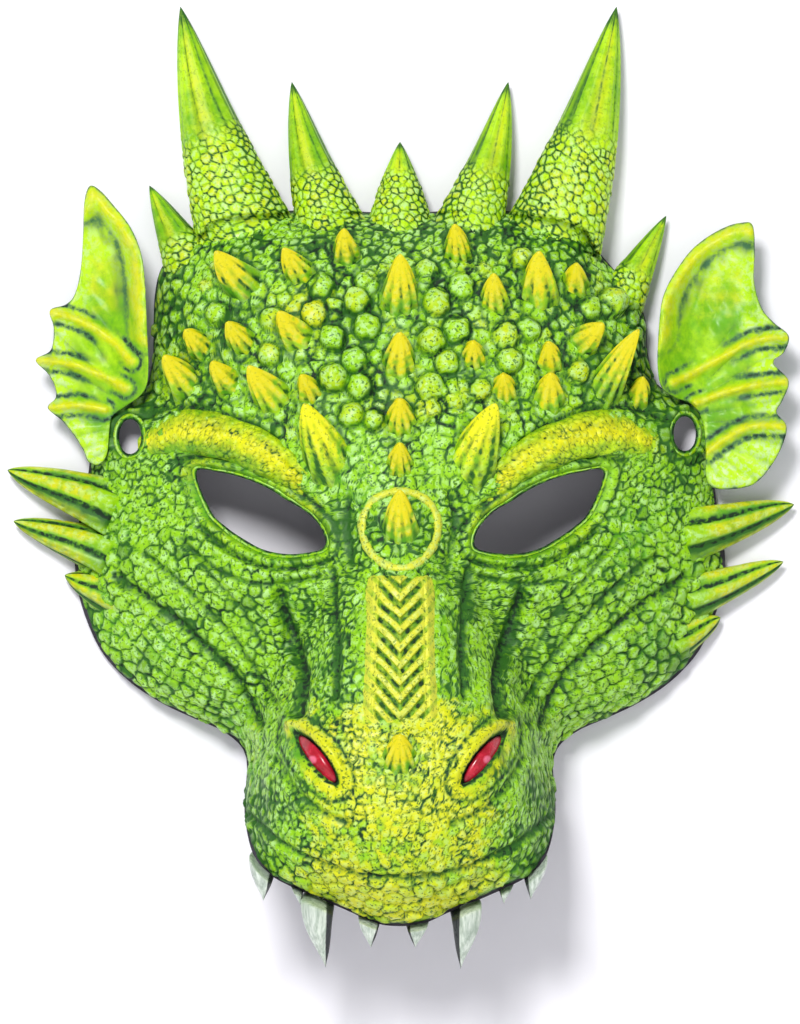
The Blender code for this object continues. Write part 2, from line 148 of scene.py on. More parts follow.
def outlineTable():
    left = faceForm["crownLeft"] + faceForm["jaw"]
    right = mirrored((faceForm["crownRight"] + faceForm["jaw"])[::-1], -1)
    curve = smoothCurve([faceForm["crownTop"]] + left + [faceForm["lip"]] + right, 4)
    dx, dz = curve[:, 0] - faceForm["centre"][0], curve[:, 1] - faceForm["centre"][1]
    angle, radius = np.arctan2(dz, dx), np.hypot(dx, dz)
    order = np.argsort(angle)
    return angle[order], radius[order]


outlineAngles, outlineRadii = outlineTable()


def edgeRadius(angle):
    return np.interp(angle, outlineAngles, outlineRadii, period=2.0 * math.pi)


def rim(z):
    # depth of the foam's edge: flat behind, and standing forward under the jaw
    return faceForm["lipDepth"] * blend(*faceForm["jawTurn"], z)


def hump(x, z, at, reach):
    return np.exp(-((x - at[0]) / reach[0]) ** 2 - ((z - at[1]) / reach[1]) ** 2)


def relief(x, z):
    # depth of the face without its scales: a rounded face, and a snout that grows out of it
    x, form, nose = np.abs(x), faceForm, faceForm["snout"]
    middle = np.maximum(form["mid"] - form["midFall"] * (z - 5.0) ** 2, form["midLeast"])
    face = form["side"] + (middle - form["side"]) * (1.0 - (x / form["halfFace"]) ** 2)
    bridge = nose["proud"] - np.where(z > -100, nose["rise"] * np.abs(z / 100.0 + 1.0) ** 1.5,
                                      nose["under"] * (z + 100.0) ** 2)
    halfWidth = nose["halfTop"] + nose["halfMore"] * blend(0.0, -100.0, z)
    roundness = blend(-10.0, -100.0, z)
    across = np.maximum(1.0 - np.minimum(x / halfWidth, 1.0) ** (2.0 + roundness), 0.0)
    across = across ** (1.0 - 0.4 * roundness)
    root = face - nose["sunk"]
    snout = root + np.maximum(bridge - root, 0.0) * across * blend(75.0, 10.0, z)
    depth = 0.5 * (face + snout + np.hypot(face - snout, nose["soften"]))
    for height, at, reach in form["bulges"]:
        depth = depth + height * hump(x, z, at, reach)
    return depth


def roll(share):
    # how far the form has risen, from the edge (share 1) to the middle
    return np.maximum(1.0 - np.minimum(share, 1.0) ** 9, 0.0) ** 0.45


def shellDepth(x, z, share, wall=0.0):
    return rim(z) + (relief(x, z) - wall - rim(z)) * roll(share)


def fromCentre(x, z):
    # distance from the middle of the face, and the outline's own distance that way
    dx, dz = x - faceForm["centre"][0], z - faceForm["centre"][1]
    return np.hypot(dx, dz), edgeRadius(np.arctan2(dz, dx))


def skinDepth(x, z):
    x, z = np.asarray(x, float), np.asarray(z, float)
    away, edge = fromCentre(x, z)
    return shellDepth(x, z, away / edge)


def walkAlong(line):
    # distance walked at each point of a line
    return np.concatenate(([0.0], np.cumsum(np.linalg.norm(np.diff(line, axis=0), axis=1))))


# making and finishing meshes

def clearSelection():
    if bpy.context.object and bpy.context.object.mode != "OBJECT":
        bpy.ops.object.mode_set(mode="OBJECT")
    bpy.ops.object.select_all(action="DESELECT")


def selectOnly(piece):
    clearSelection()
    piece.select_set(True)
    bpy.context.view_layer.objects.active = piece


def unmark(*parts):
    for part in parts:
        part.foreach_set("select", np.zeros(len(part), bool))


def newGrid(name, across, along):
    # flat grid from -1 to 1; its vertices are shaped afterwards
    clearSelection()
    bpy.ops.mesh.primitive_grid_add(x_subdivisions=across, y_subdivisions=along, size=2)
    piece = bpy.context.active_object
    piece.name = piece.data.name = name
    for layer in list(piece.data.uv_layers):
        piece.data.uv_layers.remove(layer)
    return piece


def readVectors(items, field):
    flat = np.empty(len(items) * 3, np.float32)
    items.foreach_get(field, flat)
    return flat.reshape(-1, 3).astype(float)


def turned(vectors):
    # from depth to Y and back
    return np.stack([vectors[:, 0], -vectors[:, 1], vectors[:, 2]], 1)


def gridCoords(piece):
    flat = readVectors(piece.data.vertices, "co")
    return flat[:, 0], flat[:, 1]


def getPoints(piece):
    return turned(readVectors(piece.data.vertices, "co") / mm)


def setPoints(piece, points):
    piece.data.vertices.foreach_set("co", (turned(points) * mm).astype(np.float32).ravel())
    piece.data.update()


def getNormals(piece):
    return turned(readVectors(piece.data.vertex_normals, "vector"))


def setField(piece, name, values):
    layer = piece.data.attributes.get(name) or piece.data.attributes.new(name, "FLOAT", "POINT")
    layer.data.foreach_set("value", np.clip(values, 0.0, 1.0).astype(np.float32))


def getField(piece, name):
    values = np.empty(len(piece.data.vertices), np.float32)
    piece.data.attributes[name].data.foreach_get("value", values)
    return values.astype(float)


# what each point tells its paint: grooves (dark: washed-in paint and painted shade), raised parts (lighter: brushed
# paint and painted highlight), yellow brushing, and painted shade with darker tone
fieldNames = ("crevice", "crest", "warm", "dusk")


def setFields(piece, fields):
    for name in fieldNames:
        setField(piece, name, fields.get(name, np.zeros(len(piece.data.vertices))))


def tidyMesh(piece):
    selectOnly(piece)
    bpy.ops.object.mode_set(mode="EDIT")
    bpy.ops.mesh.select_all(action="SELECT")
    bpy.ops.mesh.remove_doubles(threshold=0.01 * mm)
    bpy.ops.mesh.normals_make_consistent(inside=False)
    bpy.ops.object.mode_set(mode="OBJECT")
    bpy.ops.object.shade_smooth()


def finishPiece(piece, material, slotName, *nodes):
    piece.data.materials.clear()
    piece.data.materials.append(material)
    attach(piece, "root")
    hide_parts(*nodes)


def wrapGrid(name, around, along, shape):
    # tube of a grid: shape gives points and fields for u round it and v along it, both 0 to 1
    piece = newGrid(name, around, along)
    x, y = gridCoords(piece)
    points, fields = shape((x + 1.0) / 2.0, (y + 1.0) / 2.0)
    setPoints(piece, points)
    setFields(piece, fields)
    tidyMesh(piece)
    return piece


def stretched(v, start, cap):
    # the first share of the rows closes the root; the rest run from start to the tip
    return start + (1.0 - start) * np.clip((v - cap) / (1.0 - cap), 0.0, 1.0)


# rounded scales packed over a surface

scaleSettings = {"most": 12000, "spread": (0.60, 1.10), "firstRoom": 0.92, "warp": 3.6, "outOfReach": (2.1, 3.0)}


def spreadCentres(points, pitch, seed, first=(), tries=26000):
    # scale centres picked from points, no closer than their own room allows; first ones go in before
    rng = np.random.RandomState(seed)
    picked = np.zeros((scaleSettings["most"], 3))
    room = np.zeros(scaleSettings["most"])
    count = 0
    order = list(first) + list(rng.permutation(len(points))[:tries])
    spread = rng.uniform(*scaleSettings["spread"], len(order))
    spread[:len(first)] = scaleSettings["firstRoom"]
    for turn, i in enumerate(order):
        p, gap = points[i], spread[turn] * pitch[i]
        if pitch[i] <= 0 or count >= scaleSettings["most"]:
            continue
        if count:
            d = picked[:count] - p
            if ((d * d).sum(1) < (0.5 * (gap + room[:count])) ** 2).any():
                continue
        picked[count], room[count] = p, gap
        count += 1
    return picked[:count].copy(), 0.5 * room[:count]


def scaleCover(points, centres, sizes, warp=0.0):
    # for each point: distance to its scale's border, scale number, that scale's half width, and
    # whether a scale reaches it at all
    if warp:
        points = points + warp * np.stack([ripple(points, scaleSettings["warp"], seed) for seed in (71, 72, 73)], 1)
    for relaxing in (True, False):
        tree = kdtree.KDTree(len(centres))
        for i, c in enumerate(centres):
            tree.insert(c, i)
        tree.balance()
        if relaxing:
            sample = points[::3]
            owner = np.array([tree.find(p)[1] for p in sample])
            total = np.bincount(owner, minlength=len(centres))
            for k in range(3):
                moved = np.bincount(owner, sample[:, k], len(centres)) / np.maximum(total, 1)
                centres[:, k] = np.where(total > 3, 0.5 * (moved + centres[:, k]), centres[:, k])
    near = [tree.find_n(p, 5) for p in points]
    number = np.array([[n[1] for n in five] for five in near])
    away = np.array([[n[2] for n in five] for five in near])
    power = away ** 2 - sizes[number] ** 2
    order = np.argsort(power, axis=1)[:, :2]
    rows = np.arange(len(points))
    first, second = number[rows, order[:, 0]], number[rows, order[:, 1]]
    apart = np.linalg.norm(centres[first] - centres[second], axis=1)
    border = (power[rows, order[:, 1]] - power[rows, order[:, 0]]) / (2.0 * np.maximum(apart, 1e-6))
    held = 1.0 - blend(*scaleSettings["outOfReach"], away[rows, order[:, 0]] / sizes[first])
    return border, first, sizes[first], held


# paint: one shared group, placed in each finish with its own colours

def addNode(tree, kind, values=(), **settings):
    made = tree.nodes.new(kind)
    for key, value in settings.items():
        setattr(made, key, value)
    for key, value in values:
        if isinstance(value, bpy.types.NodeSocket):
            tree.links.new(value, made.inputs[key])
        else:
            made.inputs[key].default_value = value
    return made


def maths(tree, operation, a, b=0.0, limit=False):
    return addNode(tree, "ShaderNodeMath", [(0, a), (1, b)], operation=operation, use_clamp=limit).outputs[0]


def mixed(tree, factor, a, b):
    made = addNode(tree, "ShaderNodeMix", [(0, factor), (6, a), (7, b)], data_type="RGBA")
    return made.outputs[2]


def eased(tree, value, low, high):
    made = addNode(tree, "ShaderNodeMapRange", [(0, value), (1, low), (2, high)], interpolation_type="SMOOTHSTEP")
    return made.outputs[0]


def noiseAt(tree, coords, scale, detail=2.0, rough=0.5):
    made = addNode(tree, "ShaderNodeTexNoise",
                   [("Vector", coords), ("Scale", scale), ("Detail", detail), ("Roughness", rough)])
    return made.outputs[0]


def onPiece(tree):
    return addNode(tree, "ShaderNodeTexCoord").outputs["Object"]


def fieldAt(tree, name):
    return addNode(tree, "ShaderNodeAttribute", attribute_name=name).outputs["Fac"]


def scaledSum(tree, terms, plus=0.0, limit=False):
    # sum of sockets, each times its own share
    total = plus
    for socket, share in terms:
        total = maths(tree, "ADD", maths(tree, "MULTIPLY", socket, share), total, limit)
    return total


paintGroup = {
    "grain": {"patch": (42.0, 2.0, 0.5), "mottle": (300.0, 3.0, 0.6), "speck": (560.0, 2.0, 0.6),
              "dust": (1000.0, 1.0, 0.5)},
    "values": {"Crevice": 0.0, "Crest": 0.0, "Warm": 0.0, "Dusk": 0.0, "Fleck": 0.6},
    "colours": {"Deep": (0.085, 0.33, 0.006), "Base": (0.31, 0.64, 0.006), "Tip": (0.68, 0.71, 0.006),
                "Mint": (0.52, 0.84, 0.36), "Wash": (0.026, 0.125, 0.010), "Gap": (0.006, 0.026, 0.008)},
}


def makePaintGroup():
    group = bpy.data.node_groups.new("brushedFoamPaint", "ShaderNodeTree")
    sockets = group.interface
    for name, value in paintGroup["values"].items():
        made = sockets.new_socket(name=name, in_out="INPUT", socket_type="NodeSocketFloat")
        made.default_value = value
    for name, value in paintGroup["colours"].items():
        made = sockets.new_socket(name=name, in_out="INPUT", socket_type="NodeSocketColor")
        made.default_value = (*value, 1.0)
    for name, kind in (("Color", "Color"), ("Roughness", "Float"), ("Height", "Float")):
        sockets.new_socket(name=name, in_out="OUTPUT", socket_type="NodeSocket" + kind)
    given = addNode(group, "NodeGroupInput").outputs
    result = addNode(group, "NodeGroupOutput")
    coords = onPiece(group)
    patch, mottle, speck, dust = (noiseAt(group, coords, *grain) for grain in paintGroup["grain"].values())

    def times(a, b, limit=False):
        return maths(group, "MULTIPLY", a, b, limit)

    # the dark in the grooves, partly washed-in paint and partly painted shade, breaks up along them, so that they are
    # not drawn like lines
    ragged = addNode(group, "ShaderNodeMapRange", [(0, speck), (1, 0.32), (2, 0.62), (3, 0.45), (4, 1.15)]).outputs[0]
    groove = times(given["Crevice"], ragged, True)
    # base: leaf green low down, lime on what stands up; the lighter tops are partly the brushed paint, partly painted
    # highlight
    lift = scaledSum(group, [(patch, 0.7), (mottle, 0.45), (given["Crest"], 0.34)])
    colour = mixed(group, eased(group, lift, 0.42, 0.86), given["Deep"], given["Base"])
    # yellow dry brushing on the warm parts
    warm = scaledSum(group, [(given["Warm"], 1.5), (mottle, 0.5)])
    colour = mixed(group, eased(group, warm, 0.42, 1.25), colour, given["Tip"])
    # painted highlight: mint on the tops of what stands up
    paintedHighlight = times(eased(group, speck, 0.44, 0.60), maths(group, "POWER", given["Crest"], 1.5))
    calm = maths(group, "SUBTRACT", 1.0, times(given["Warm"], 0.8), True)
    colour = mixed(group, times(paintedHighlight, times(calm, 0.75)), colour, given["Mint"])
    # darker green in the grooves and where the face is set darker, less on the tops: partly washed-in paint, partly
    # painted shade and darker tone at random, with flecks of dark paint left on the flats
    bare = maths(group, "SUBTRACT", 1.0, times(given["Crest"], 0.62), True)
    darkerToneAndShade = times(given["Dusk"], times(maths(group, "ADD", mottle, 0.40), bare))
    fleck = times(eased(group, dust, 0.55, 0.66), given["Fleck"])
    washAndShade = maths(group, "MAXIMUM", maths(group, "ADD", groove, darkerToneAndShade, True), fleck)
    colour = mixed(group, eased(group, washAndShade, 0.08, 0.85), colour, given["Wash"])
    # painted shade: near black in the deepest grooves
    colour = mixed(group, eased(group, groove, 0.60, 0.98), colour, given["Gap"])
    rough = scaledSum(group, [(mottle, 0.35), (given["Crevice"], 0.3)], 0.22, True)
    height = scaledSum(group, [(mottle, 0.6), (speck, 0.4)])
    for name, socket in (("Color", colour), ("Roughness", rough), ("Height", height)):
        group.links.new(socket, result.inputs[name])
    return group


brushedPaint = makePaintGroup()


def newMaterial(name):
    material = bpy.data.materials.new(name)
    material.use_nodes = True
    return material, material.node_tree, material.node_tree.nodes["Principled BSDF"]


def wireShader(tree, shader, colour, rough):
    tree.links.new(colour, shader.inputs["Base Color"])
    tree.links.new(rough, shader.inputs["Roughness"])


def addBump(tree, shader, height, deep, strength):
    relief = addNode(tree, "ShaderNodeBump", [("Height", height), ("Distance", deep), ("Strength", strength)])
    tree.links.new(relief.outputs["Normal"], shader.inputs["Normal"])


def paintedFoam(name, fleck=0.6, bump=0.35, **colours):
    material, tree, shader = newMaterial(name)
    paint = addNode(tree, "ShaderNodeGroup", node_tree=brushedPaint)
    paint.inputs["Fleck"].default_value = fleck
    for key, value in colours.items():
        paint.inputs[key].default_value = (*value, 1.0)
    for field in fieldNames:
        tree.links.new(fieldAt(tree, field), paint.inputs[field.capitalize()])
    wireShader(tree, shader, paint.outputs["Color"], paint.outputs["Roughness"])
    addBump(tree, shader, paint.outputs["Height"], 0.3 * mm, bump)
    shader.inputs["Specular IOR Level"].default_value = 0.32
    return material


skinPaint = paintedFoam("limeSkinPaint")
hornPaint = paintedFoam("hornPaint", fleck=0.35, Deep=(0.16, 0.44, 0.004), Base=(0.50, 0.82, 0.004))
thornPaint = paintedFoam("thornPaint", fleck=0.3, Base=(0.34, 0.62, 0.006), Tip=(0.74, 0.65, 0.004))
browPaint = paintedFoam("browPaint", fleck=0.45, Base=(0.50, 0.76, 0.006), Tip=(0.80, 0.78, 0.005))
finPaint = paintedFoam("finPaint", fleck=0.25, Deep=(0.15, 0.44, 0.006), Base=(0.50, 0.80, 0.010),
                       Mint=(0.58, 0.78, 0.42), Wash=(0.050, 0.15, 0.060), Gap=(0.014, 0.035, 0.022))
platePaint = paintedFoam("noseBridgePaint", fleck=0.5, Base=(0.42, 0.66, 0.012), Tip=(0.72, 0.74, 0.05))
print("paints ready")


# the foam skin: one fine surface, cut into four panels so that each stays light

skinSettings = {
    "rings": 220,
    "limits": {"forehead": 9.0, "snoutHalf": 52.0},
    "cut": 0.55,
    # rows of scales along the jaw, as (distance from the edge, spacing)
    "rows": ((3.2, 5.6), (8.0, 4.8), (12.4, 4.6), (16.8, 4.5), (21.0, 4.4), (25.2, 4.3), (29.4, 4.2)),
    "bare": {"lid": 2.0, "strap": 1.4, "nose": 1.6, "thorn": -2.2, "plate": 0.0},
    "warp": 0.42, "beadLift": 2.2, "moatDepth": 0.5, "mound": 1.2, "wingLift": 1.7,
    "tall": (0.45, 1.45),
}
far = 99.0
thornSpots = {
    "centre": [((0, 68), (0, 86), 11), ((0, 47), (0, 60), 10), ((0, 29), (0, 38), 9), ((0, 14.5), (0, 23.5), 8)],
    "right": [((-50.5, 74.5), (-61, 87), 11), ((-32, 78.5), (-38.5, 88), 8.5), ((-18, 84), (-18.5, 94.5), 8),
              ((-33, 56.5), (-40, 67), 9.5), ((-51, 55.5), (-57, 63.5), 8.5), ((-70, 42), (-78, 52.5), 10),
              ((-64.5, 54.5), (-71, 61), 8), ((-56, 42), (-62, 50.5), 8.5), ((-40.5, 36.5), (-50, 49), 10.5),
              ((-28.8, 38.8), (-32.5, 46), 7.5)],
    "left": [((19.5, 85), (18, 96), 8), ((31, 68.5), (31, 79.5), 8.5), ((45.5, 70.5), (46, 87), 11),
             ((57.8, 74.5), (58.4, 83), 8), ((24.8, 50.5), (24, 57), 7.5), ((49.5, 48.5), (49, 57), 8),
             ((59.5, 56), (67, 63), 9), ((34.8, 39.5), (34, 46), 8), ((48.5, 36.5), (49.8, 46.5), 9.5),
             ((66.5, 40.5), (79, 61.5), 9.5), ((78.2, 38), (80.5, 45.5), 7)],
    "brow": [((22.5, 15), (31.5, 36.5), 14.0), ((-22.5, 15), (-31.5, 36.5), 14.0)],
    "bridge": [((0, -7), (0, 8), 10.5)],
    "noseTip": [((0, -82), (0, -72.5), 10)],
}
# big smooth pebbles between the thorns, as (x, z, radius)
pebbles = [
    (-26, 75, 4.4), (-14, 70, 4.4), (-28, 66, 4.2), (-22, 58, 4.2), (-11, 62, 4.2), (-14.5, 51, 4.2),
    (-22, 45, 4.6), (-13, 42, 4.4), (-16, 33, 4.0), (-11, 76, 3.6), (-42, 64, 3.8), (-43, 53, 3.6),
    (-8.5, 31, 3.4), (-22, 68, 3.4), (-60, 66, 3.8),
    (12, 70, 4.4), (10, 57, 4.4), (18.5, 61, 4.4), (20, 75, 4.2), (35, 59, 4.2), (36, 51, 4.0), (10, 42, 4.4),
    (18.5, 40, 4.6), (9, 34, 4.0), (70, 70, 4.6), (62, 68, 4.0), (42, 61, 3.8), (15.5, 50, 3.6), (26, 41, 3.4),
    (58, 47, 3.6), (9, 80, 3.6), (40, 84, 3.6),
]
# creases pressed into the face on both sides: points, width, depth, and how high their lower lip stands
creases = [
    ([(23, -15), (34, -17.5), (46, -17), (57, -12), (65, -5)], 1.0, 1.3, 0.7),
    ([(26, -20), (38, -22.5), (50, -22), (61, -17.5), (70, -10)], 0.9, 1.0, 0.5),
    ([(40, -25), (37.5, -34), (34, -44), (31.5, -55), (33, -65)], 2.0, 2.4, 1.4),
    ([(22, -18), (21, -30), (20.5, -44), (21, -60)], 1.3, 1.3, 0.6),
    ([(94, -20), (78, -31), (63, -44), (52, -56), (46, -69)], 1.6, 1.5, 0.8),
    ([(84, -13), (69, -25), (57, -38), (48, -50), (41, -62)], 1.2, 1.0, 0.5),
    ([(72, -8), (62, -20), (52, -31), (45, -44)], 1.0, 0.7, 0.4),
    ([(49, -99), (38, -108), (24, -114.5), (10, -118), (0, -118.5)], 1.0, 1.1, 0.5),
    ([(40, -80), (34, -90), (26, -97), (17, -101)], 1.2, 1.0, 0.5),
    ([(88, 31), (76, 35.5), (62, 34.5), (49, 30), (40, 24)], 1.4, 1.2, 0.0),
    ([(74, 18), (64, 19.5), (53, 18), (42, 13.5), (33, 7.5), (26, 2)], 1.2, 1.2, 0.0),
    ([(16.5, 6), (17.5, -4), (15.5, -16)], 1.2, 1.0, 0.0),
]


def almondLoop(side, grow=0.0, steps=16):
    start, stop = (np.array(mirrored([nostrilShape[k]], side)[0], float) for k in ("outer", "inner"))
    along = (stop - start) / np.linalg.norm(stop - start)
    across = np.array((-along[1], along[0]))
    start, stop = start - along * grow * 1.6, stop + along * grow * 1.6
    turn = np.linspace(0.0, 2.0 * math.pi, 2 * steps, endpoint=False)
    half = 0.5 * nostrilShape["width"] + grow
    return np.array([0.5 * (start + stop) - 0.5 * (stop - start) * math.cos(a)
                     + across * half * math.sin(a) for a in turn])


def ovalLoop(spot, size, steps=40):
    return np.array([(spot[0] + 0.5 * size[0] * math.cos(a), spot[1] + 0.5 * size[1] * math.sin(a))
                     for a in np.linspace(0.0, 2.0 * math.pi, steps, endpoint=False)])


eyeLoops = {side: smoothCurve(mirrored(eyeShape, side), 8) for side in (1, -1)}
strapLoops = [ovalLoop(spot, strapHoles["size"]) for spot in strapHoles["spots"]]
holeLoops = list(eyeLoops.values()) + strapLoops


def concentric(u, v):
    # square rings become rings of the outline: ring number as a share, and angle
    wide = np.abs(u) > np.abs(v)
    big = np.where(wide, u, v)
    small = np.where(wide, v, u)
    ratio = np.divide(small, big, out=np.zeros_like(big), where=np.abs(big) > 1e-9)
    angle = np.where(wide, ratio, 2.0 - ratio) * math.pi / 4.0 + np.where(big < 0, math.pi, 0.0)
    return np.abs(big), angle


def evenShares(count, height=34.0, reach=105.0):
    # ring shares that lie evenly along the rolled-over profile
    s = np.linspace(0.0, 1.0, 4001)
    steps = np.hypot(np.diff(s) * reach, np.diff(roll(s)) * height)
    length = np.concatenate(([0.0], np.cumsum(steps)))
    return np.interp(np.linspace(0.0, length[-1], count + 1), length, s)


def cutHoles(piece, loops, edgeWidth, depthAt=skinDepth):
    # faces inside a loop go, and what is left inside is pulled out to the loop
    points = getPoints(piece)
    x, z = points[:, 0], points[:, 2]
    within = np.zeros(len(points), bool)
    spot = np.stack([x, z], 1)
    for loop in loops:
        close = (np.abs(x - loop[:, 0].mean()) < 45) & (np.abs(z - loop[:, 1].mean()) < 35)
        index = np.flatnonzero(close)
        odd = inside(x[index], z[index], loop)
        d, near = nearLine(x[index], z[index], loop, closed=True)
        within[index[odd & (d > edgeWidth)]] = True
        pull = (odd & (d <= edgeWidth)) | (~odd & (d < 0.3 * edgeWidth))
        spot[index[pull]] = near[pull]
    points[:, 1] += depthAt(spot[:, 0], spot[:, 1]) - depthAt(x, z)
    points[:, 0], points[:, 2] = spot[:, 0], spot[:, 1]
    setPoints(piece, points)
    selectOnly(piece)
    unmark(piece.data.polygons, piece.data.edges)
    piece.data.vertices.foreach_set("select", within)
    bpy.ops.object.mode_set(mode="EDIT")
    bpy.ops.mesh.select_mode(type="VERT")
    bpy.ops.mesh.delete(type="VERT")
    bpy.ops.object.mode_set(mode="OBJECT")


def skinScales(x, z):
    # local pitch of the scales, and how tall they stand for their width
    ax = np.abs(x)
    head = blend(16.0, 30.0, z)
    cheek = blend(40.0, 58.0, ax) * (1.0 - blend(-6.0, 6.0, z))
    lips = blend(-112.0, -119.0, z)
    snout = (1.0 - blend(34.0, 48.0, ax)) * (1.0 - blend(-30.0, -18.0, z))
    pitch = 2.9 + 1.3 * head * (1.0 - blend(80.0, 92.0, z)) + 1.5 * cheek + 2.7 * lips - 0.4 * snout
    keep = 0.29 + 0.03 * head + 0.05 * cheek + 0.06 * lips - 0.01 * snout
    return pitch, 2.0 * keep


def shapeSkin():
    rings = skinSettings["rings"]
    piece = newGrid("skin", 2 * rings, 2 * rings)
    ring, angle = concentric(*gridCoords(piece))
    shares = evenShares(rings)
    share = np.interp(ring, np.linspace(0.0, 1.0, rings + 1), shares)
    radius = edgeRadius(angle) * share
    x = faceForm["centre"][0] + radius * np.cos(angle)
    z = faceForm["centre"][1] + radius * np.sin(angle)
    setPoints(piece, np.stack([x, shellDepth(x, z, share), z], 1))
    setField(piece, "share", share)
    cutHoles(piece, holeLoops, skinSettings["cut"])
    share = getField(piece, "share")
    points, normals = getPoints(piece), getNormals(piece)
    if normals[np.argmax(points[:, 1]), 1] < 0:
        tidyMesh(piece)
        normals = getNormals(piece)
    x, z = points[:, 0], points[:, 2]
    ax = np.abs(x)
    count = len(points)

    # places where scales give way: thorns, lids, nostrils, the plate on the nose
    thornGap = np.full(count, far)
    mound = np.zeros(count)
    for group in thornSpots.values():
        for base, tip, width in group:
            low, mid = ([b + share * (t - b) for b, t in zip(base, tip)] for share in (-0.1, 0.4))
            close = np.flatnonzero(np.hypot(x - base[0], z - base[1]) < 3.2 * width)
            d = nearLine(x[close], z[close], [low, mid])[0]
            thornGap[close] = np.minimum(thornGap[close], d - 0.56 * width)
            mound[close] = np.maximum(mound[close], bell(d, 0.85 * width))
    lid = np.minimum(*(nearLine(x, z, loop[::3], closed=True)[0] for loop in eyeLoops.values()))
    strap = np.minimum(*(nearLine(x, z, loop[::2], closed=True)[0] for loop in strapLoops))
    nose = np.full(count, far)
    hollow = np.zeros(count)
    for side in (1, -1):
        loop = almondLoop(side)
        close = np.flatnonzero((np.abs(x - side * 27) < 22) & (np.abs(z + 80) < 24))
        d = nearLine(x[close], z[close], loop, closed=True)[0]
        within = inside(x[close], z[close], loop)
        nose[close] = np.minimum(nose[close], np.where(within, -d, d))
        hollow[close] = np.maximum(hollow[close], np.where(within, blend(0.0, 0.8, d), 0.0))
    plate = np.maximum(ax - 14.0, np.maximum(z + 20.5, -70.5 - z))

    pitch, keep = skinScales(x, z)
    smooth = np.clip(blend(0.2, 3.5, lid) * blend(0.0, 2.0, strap) * blend(0.3, 4.0, nose), 0.0, 1.0)
    bare = skinSettings["bare"]
    barred = ((lid < bare["lid"]) | (strap < bare["strap"]) | (nose < bare["nose"])
              | (thornGap < bare["thorn"]) | (plate < bare["plate"]))
    pitchHere = np.where(barred, 0.0, pitch)
    first = []
    for px, pz, size in pebbles:
        i = int(np.argmin((x - px) ** 2 + (z - pz) ** 2))
        near = (x - px) ** 2 + (z - pz) ** 2 < (0.9 * size) ** 2
        pitchHere[near] = np.where(thornGap[near] < -1.0, 0.0, 2.15 * size)
        first.append(i)
    # scales in rows that follow the jaw, and a row of larger ones along the lip
    for row, (inset, gap) in enumerate(skinSettings["rows"]):
        angles = np.arange(-180.0, 0.0, 0.5)
        edge = edgeRadius(np.radians(angles))
        walked, at = 0.5 * gap * (row % 2), None
        for a, r in zip(np.radians(angles), edge):
            p = np.array((faceForm["centre"][0] + (r - inset) * math.cos(a),
                          faceForm["centre"][1] + (r - inset) * math.sin(a)))
            if at is not None:
                walked += np.linalg.norm(p - at)
            at = p
            onSnout = abs(p[0]) < 50 and p[1] < -76
            if walked >= gap and (not onSnout or row < 1) and p[1] < -6:
                walked = 0.0
                first.append(int(np.argmin((x - p[0]) ** 2 + (z - p[1]) ** 2)))
    centres, sizes = spreadCentres(points, pitchHere, 11, first, tries=42000)
    border, owner, half, held = scaleCover(points, centres, sizes, skinSettings["warp"])
    smooth *= held
    rounded = np.clip(border / np.maximum(0.92 * half, 0.7), 0.0, 1.0)
    dome = np.sqrt(1.0 - (1.0 - rounded) ** 2)
    rng = np.random.RandomState(5)
    tall = rng.uniform(*skinSettings["tall"], len(centres))[owner]
    tint = rng.uniform(0.0, 1.0, len(centres))[owner]
    dim = rng.uniform(0.0, 1.0, len(centres))[owner]
    bead = np.zeros(count)
    moat = np.zeros(count)
    for px, pz, size in pebbles:
        d = np.hypot(x - px, z - pz)
        bead = np.maximum(bead, np.sqrt(np.maximum(1.0 - (d / (size + 0.4)) ** 2, 0.0)) * size / 4.0)
        moat = np.maximum(moat, bell(d - size - 0.7, 0.65))
    moat *= 1.0 - np.clip(2.0 * bead, 0.0, 1.0)
    near = 0.35 + 0.65 * blend(-2.0, 1.0, thornGap)
    lift = keep * half * tall * dome * smooth * near * np.where(plate < 0.0, 0.25, 1.0)
    lift += (skinSettings["beadLift"] * bead - skinSettings["moatDepth"] * moat) * near
    patchy = 0.5 + 0.5 * np.clip(ripple(points, 11.0, 13), -1.0, 1.0)
    crown = blend(20.0, 32.0, z)
    reach = (0.25 + 0.50 * patchy + 0.35 * (dim > 0.7)) * (1.0 + 0.7 * crown)
    # dark between the scales and round the pebbles, lighter on the domes: partly washed-in paint, partly painted shade
    # and painted highlight
    crevice = (1.0 - blend(0.0, 1.0, border / reach)) * smooth * (0.62 + 0.38 * patchy)
    crevice = np.maximum(crevice, moat * (0.6 + 0.4 * patchy) * near)
    crest = blend(0.30, 1.0, dome) * smooth * (0.45 + 0.55 * tint + 0.25 * crown)

    # creases
    for line, width, deep, lip in creases:
        d, spot = nearLine(ax, z, smoothCurve(line, 3, closed=False))
        cut = bell(d, width)
        lift -= deep * cut
        below = (spot[:, 1] > z).astype(float)
        lift += lip * bell(d - 2.2 * width, 1.2 * width) * below
        # painted shade in the crease, and painted highlight on its lower lip
        crevice = np.maximum(crevice, cut * min(0.45 + 0.3 * deep, 1.0))
        crest = np.maximum(crest, 0.8 * bell(d - 2.2 * width, width) * below * (lip > 0.4))
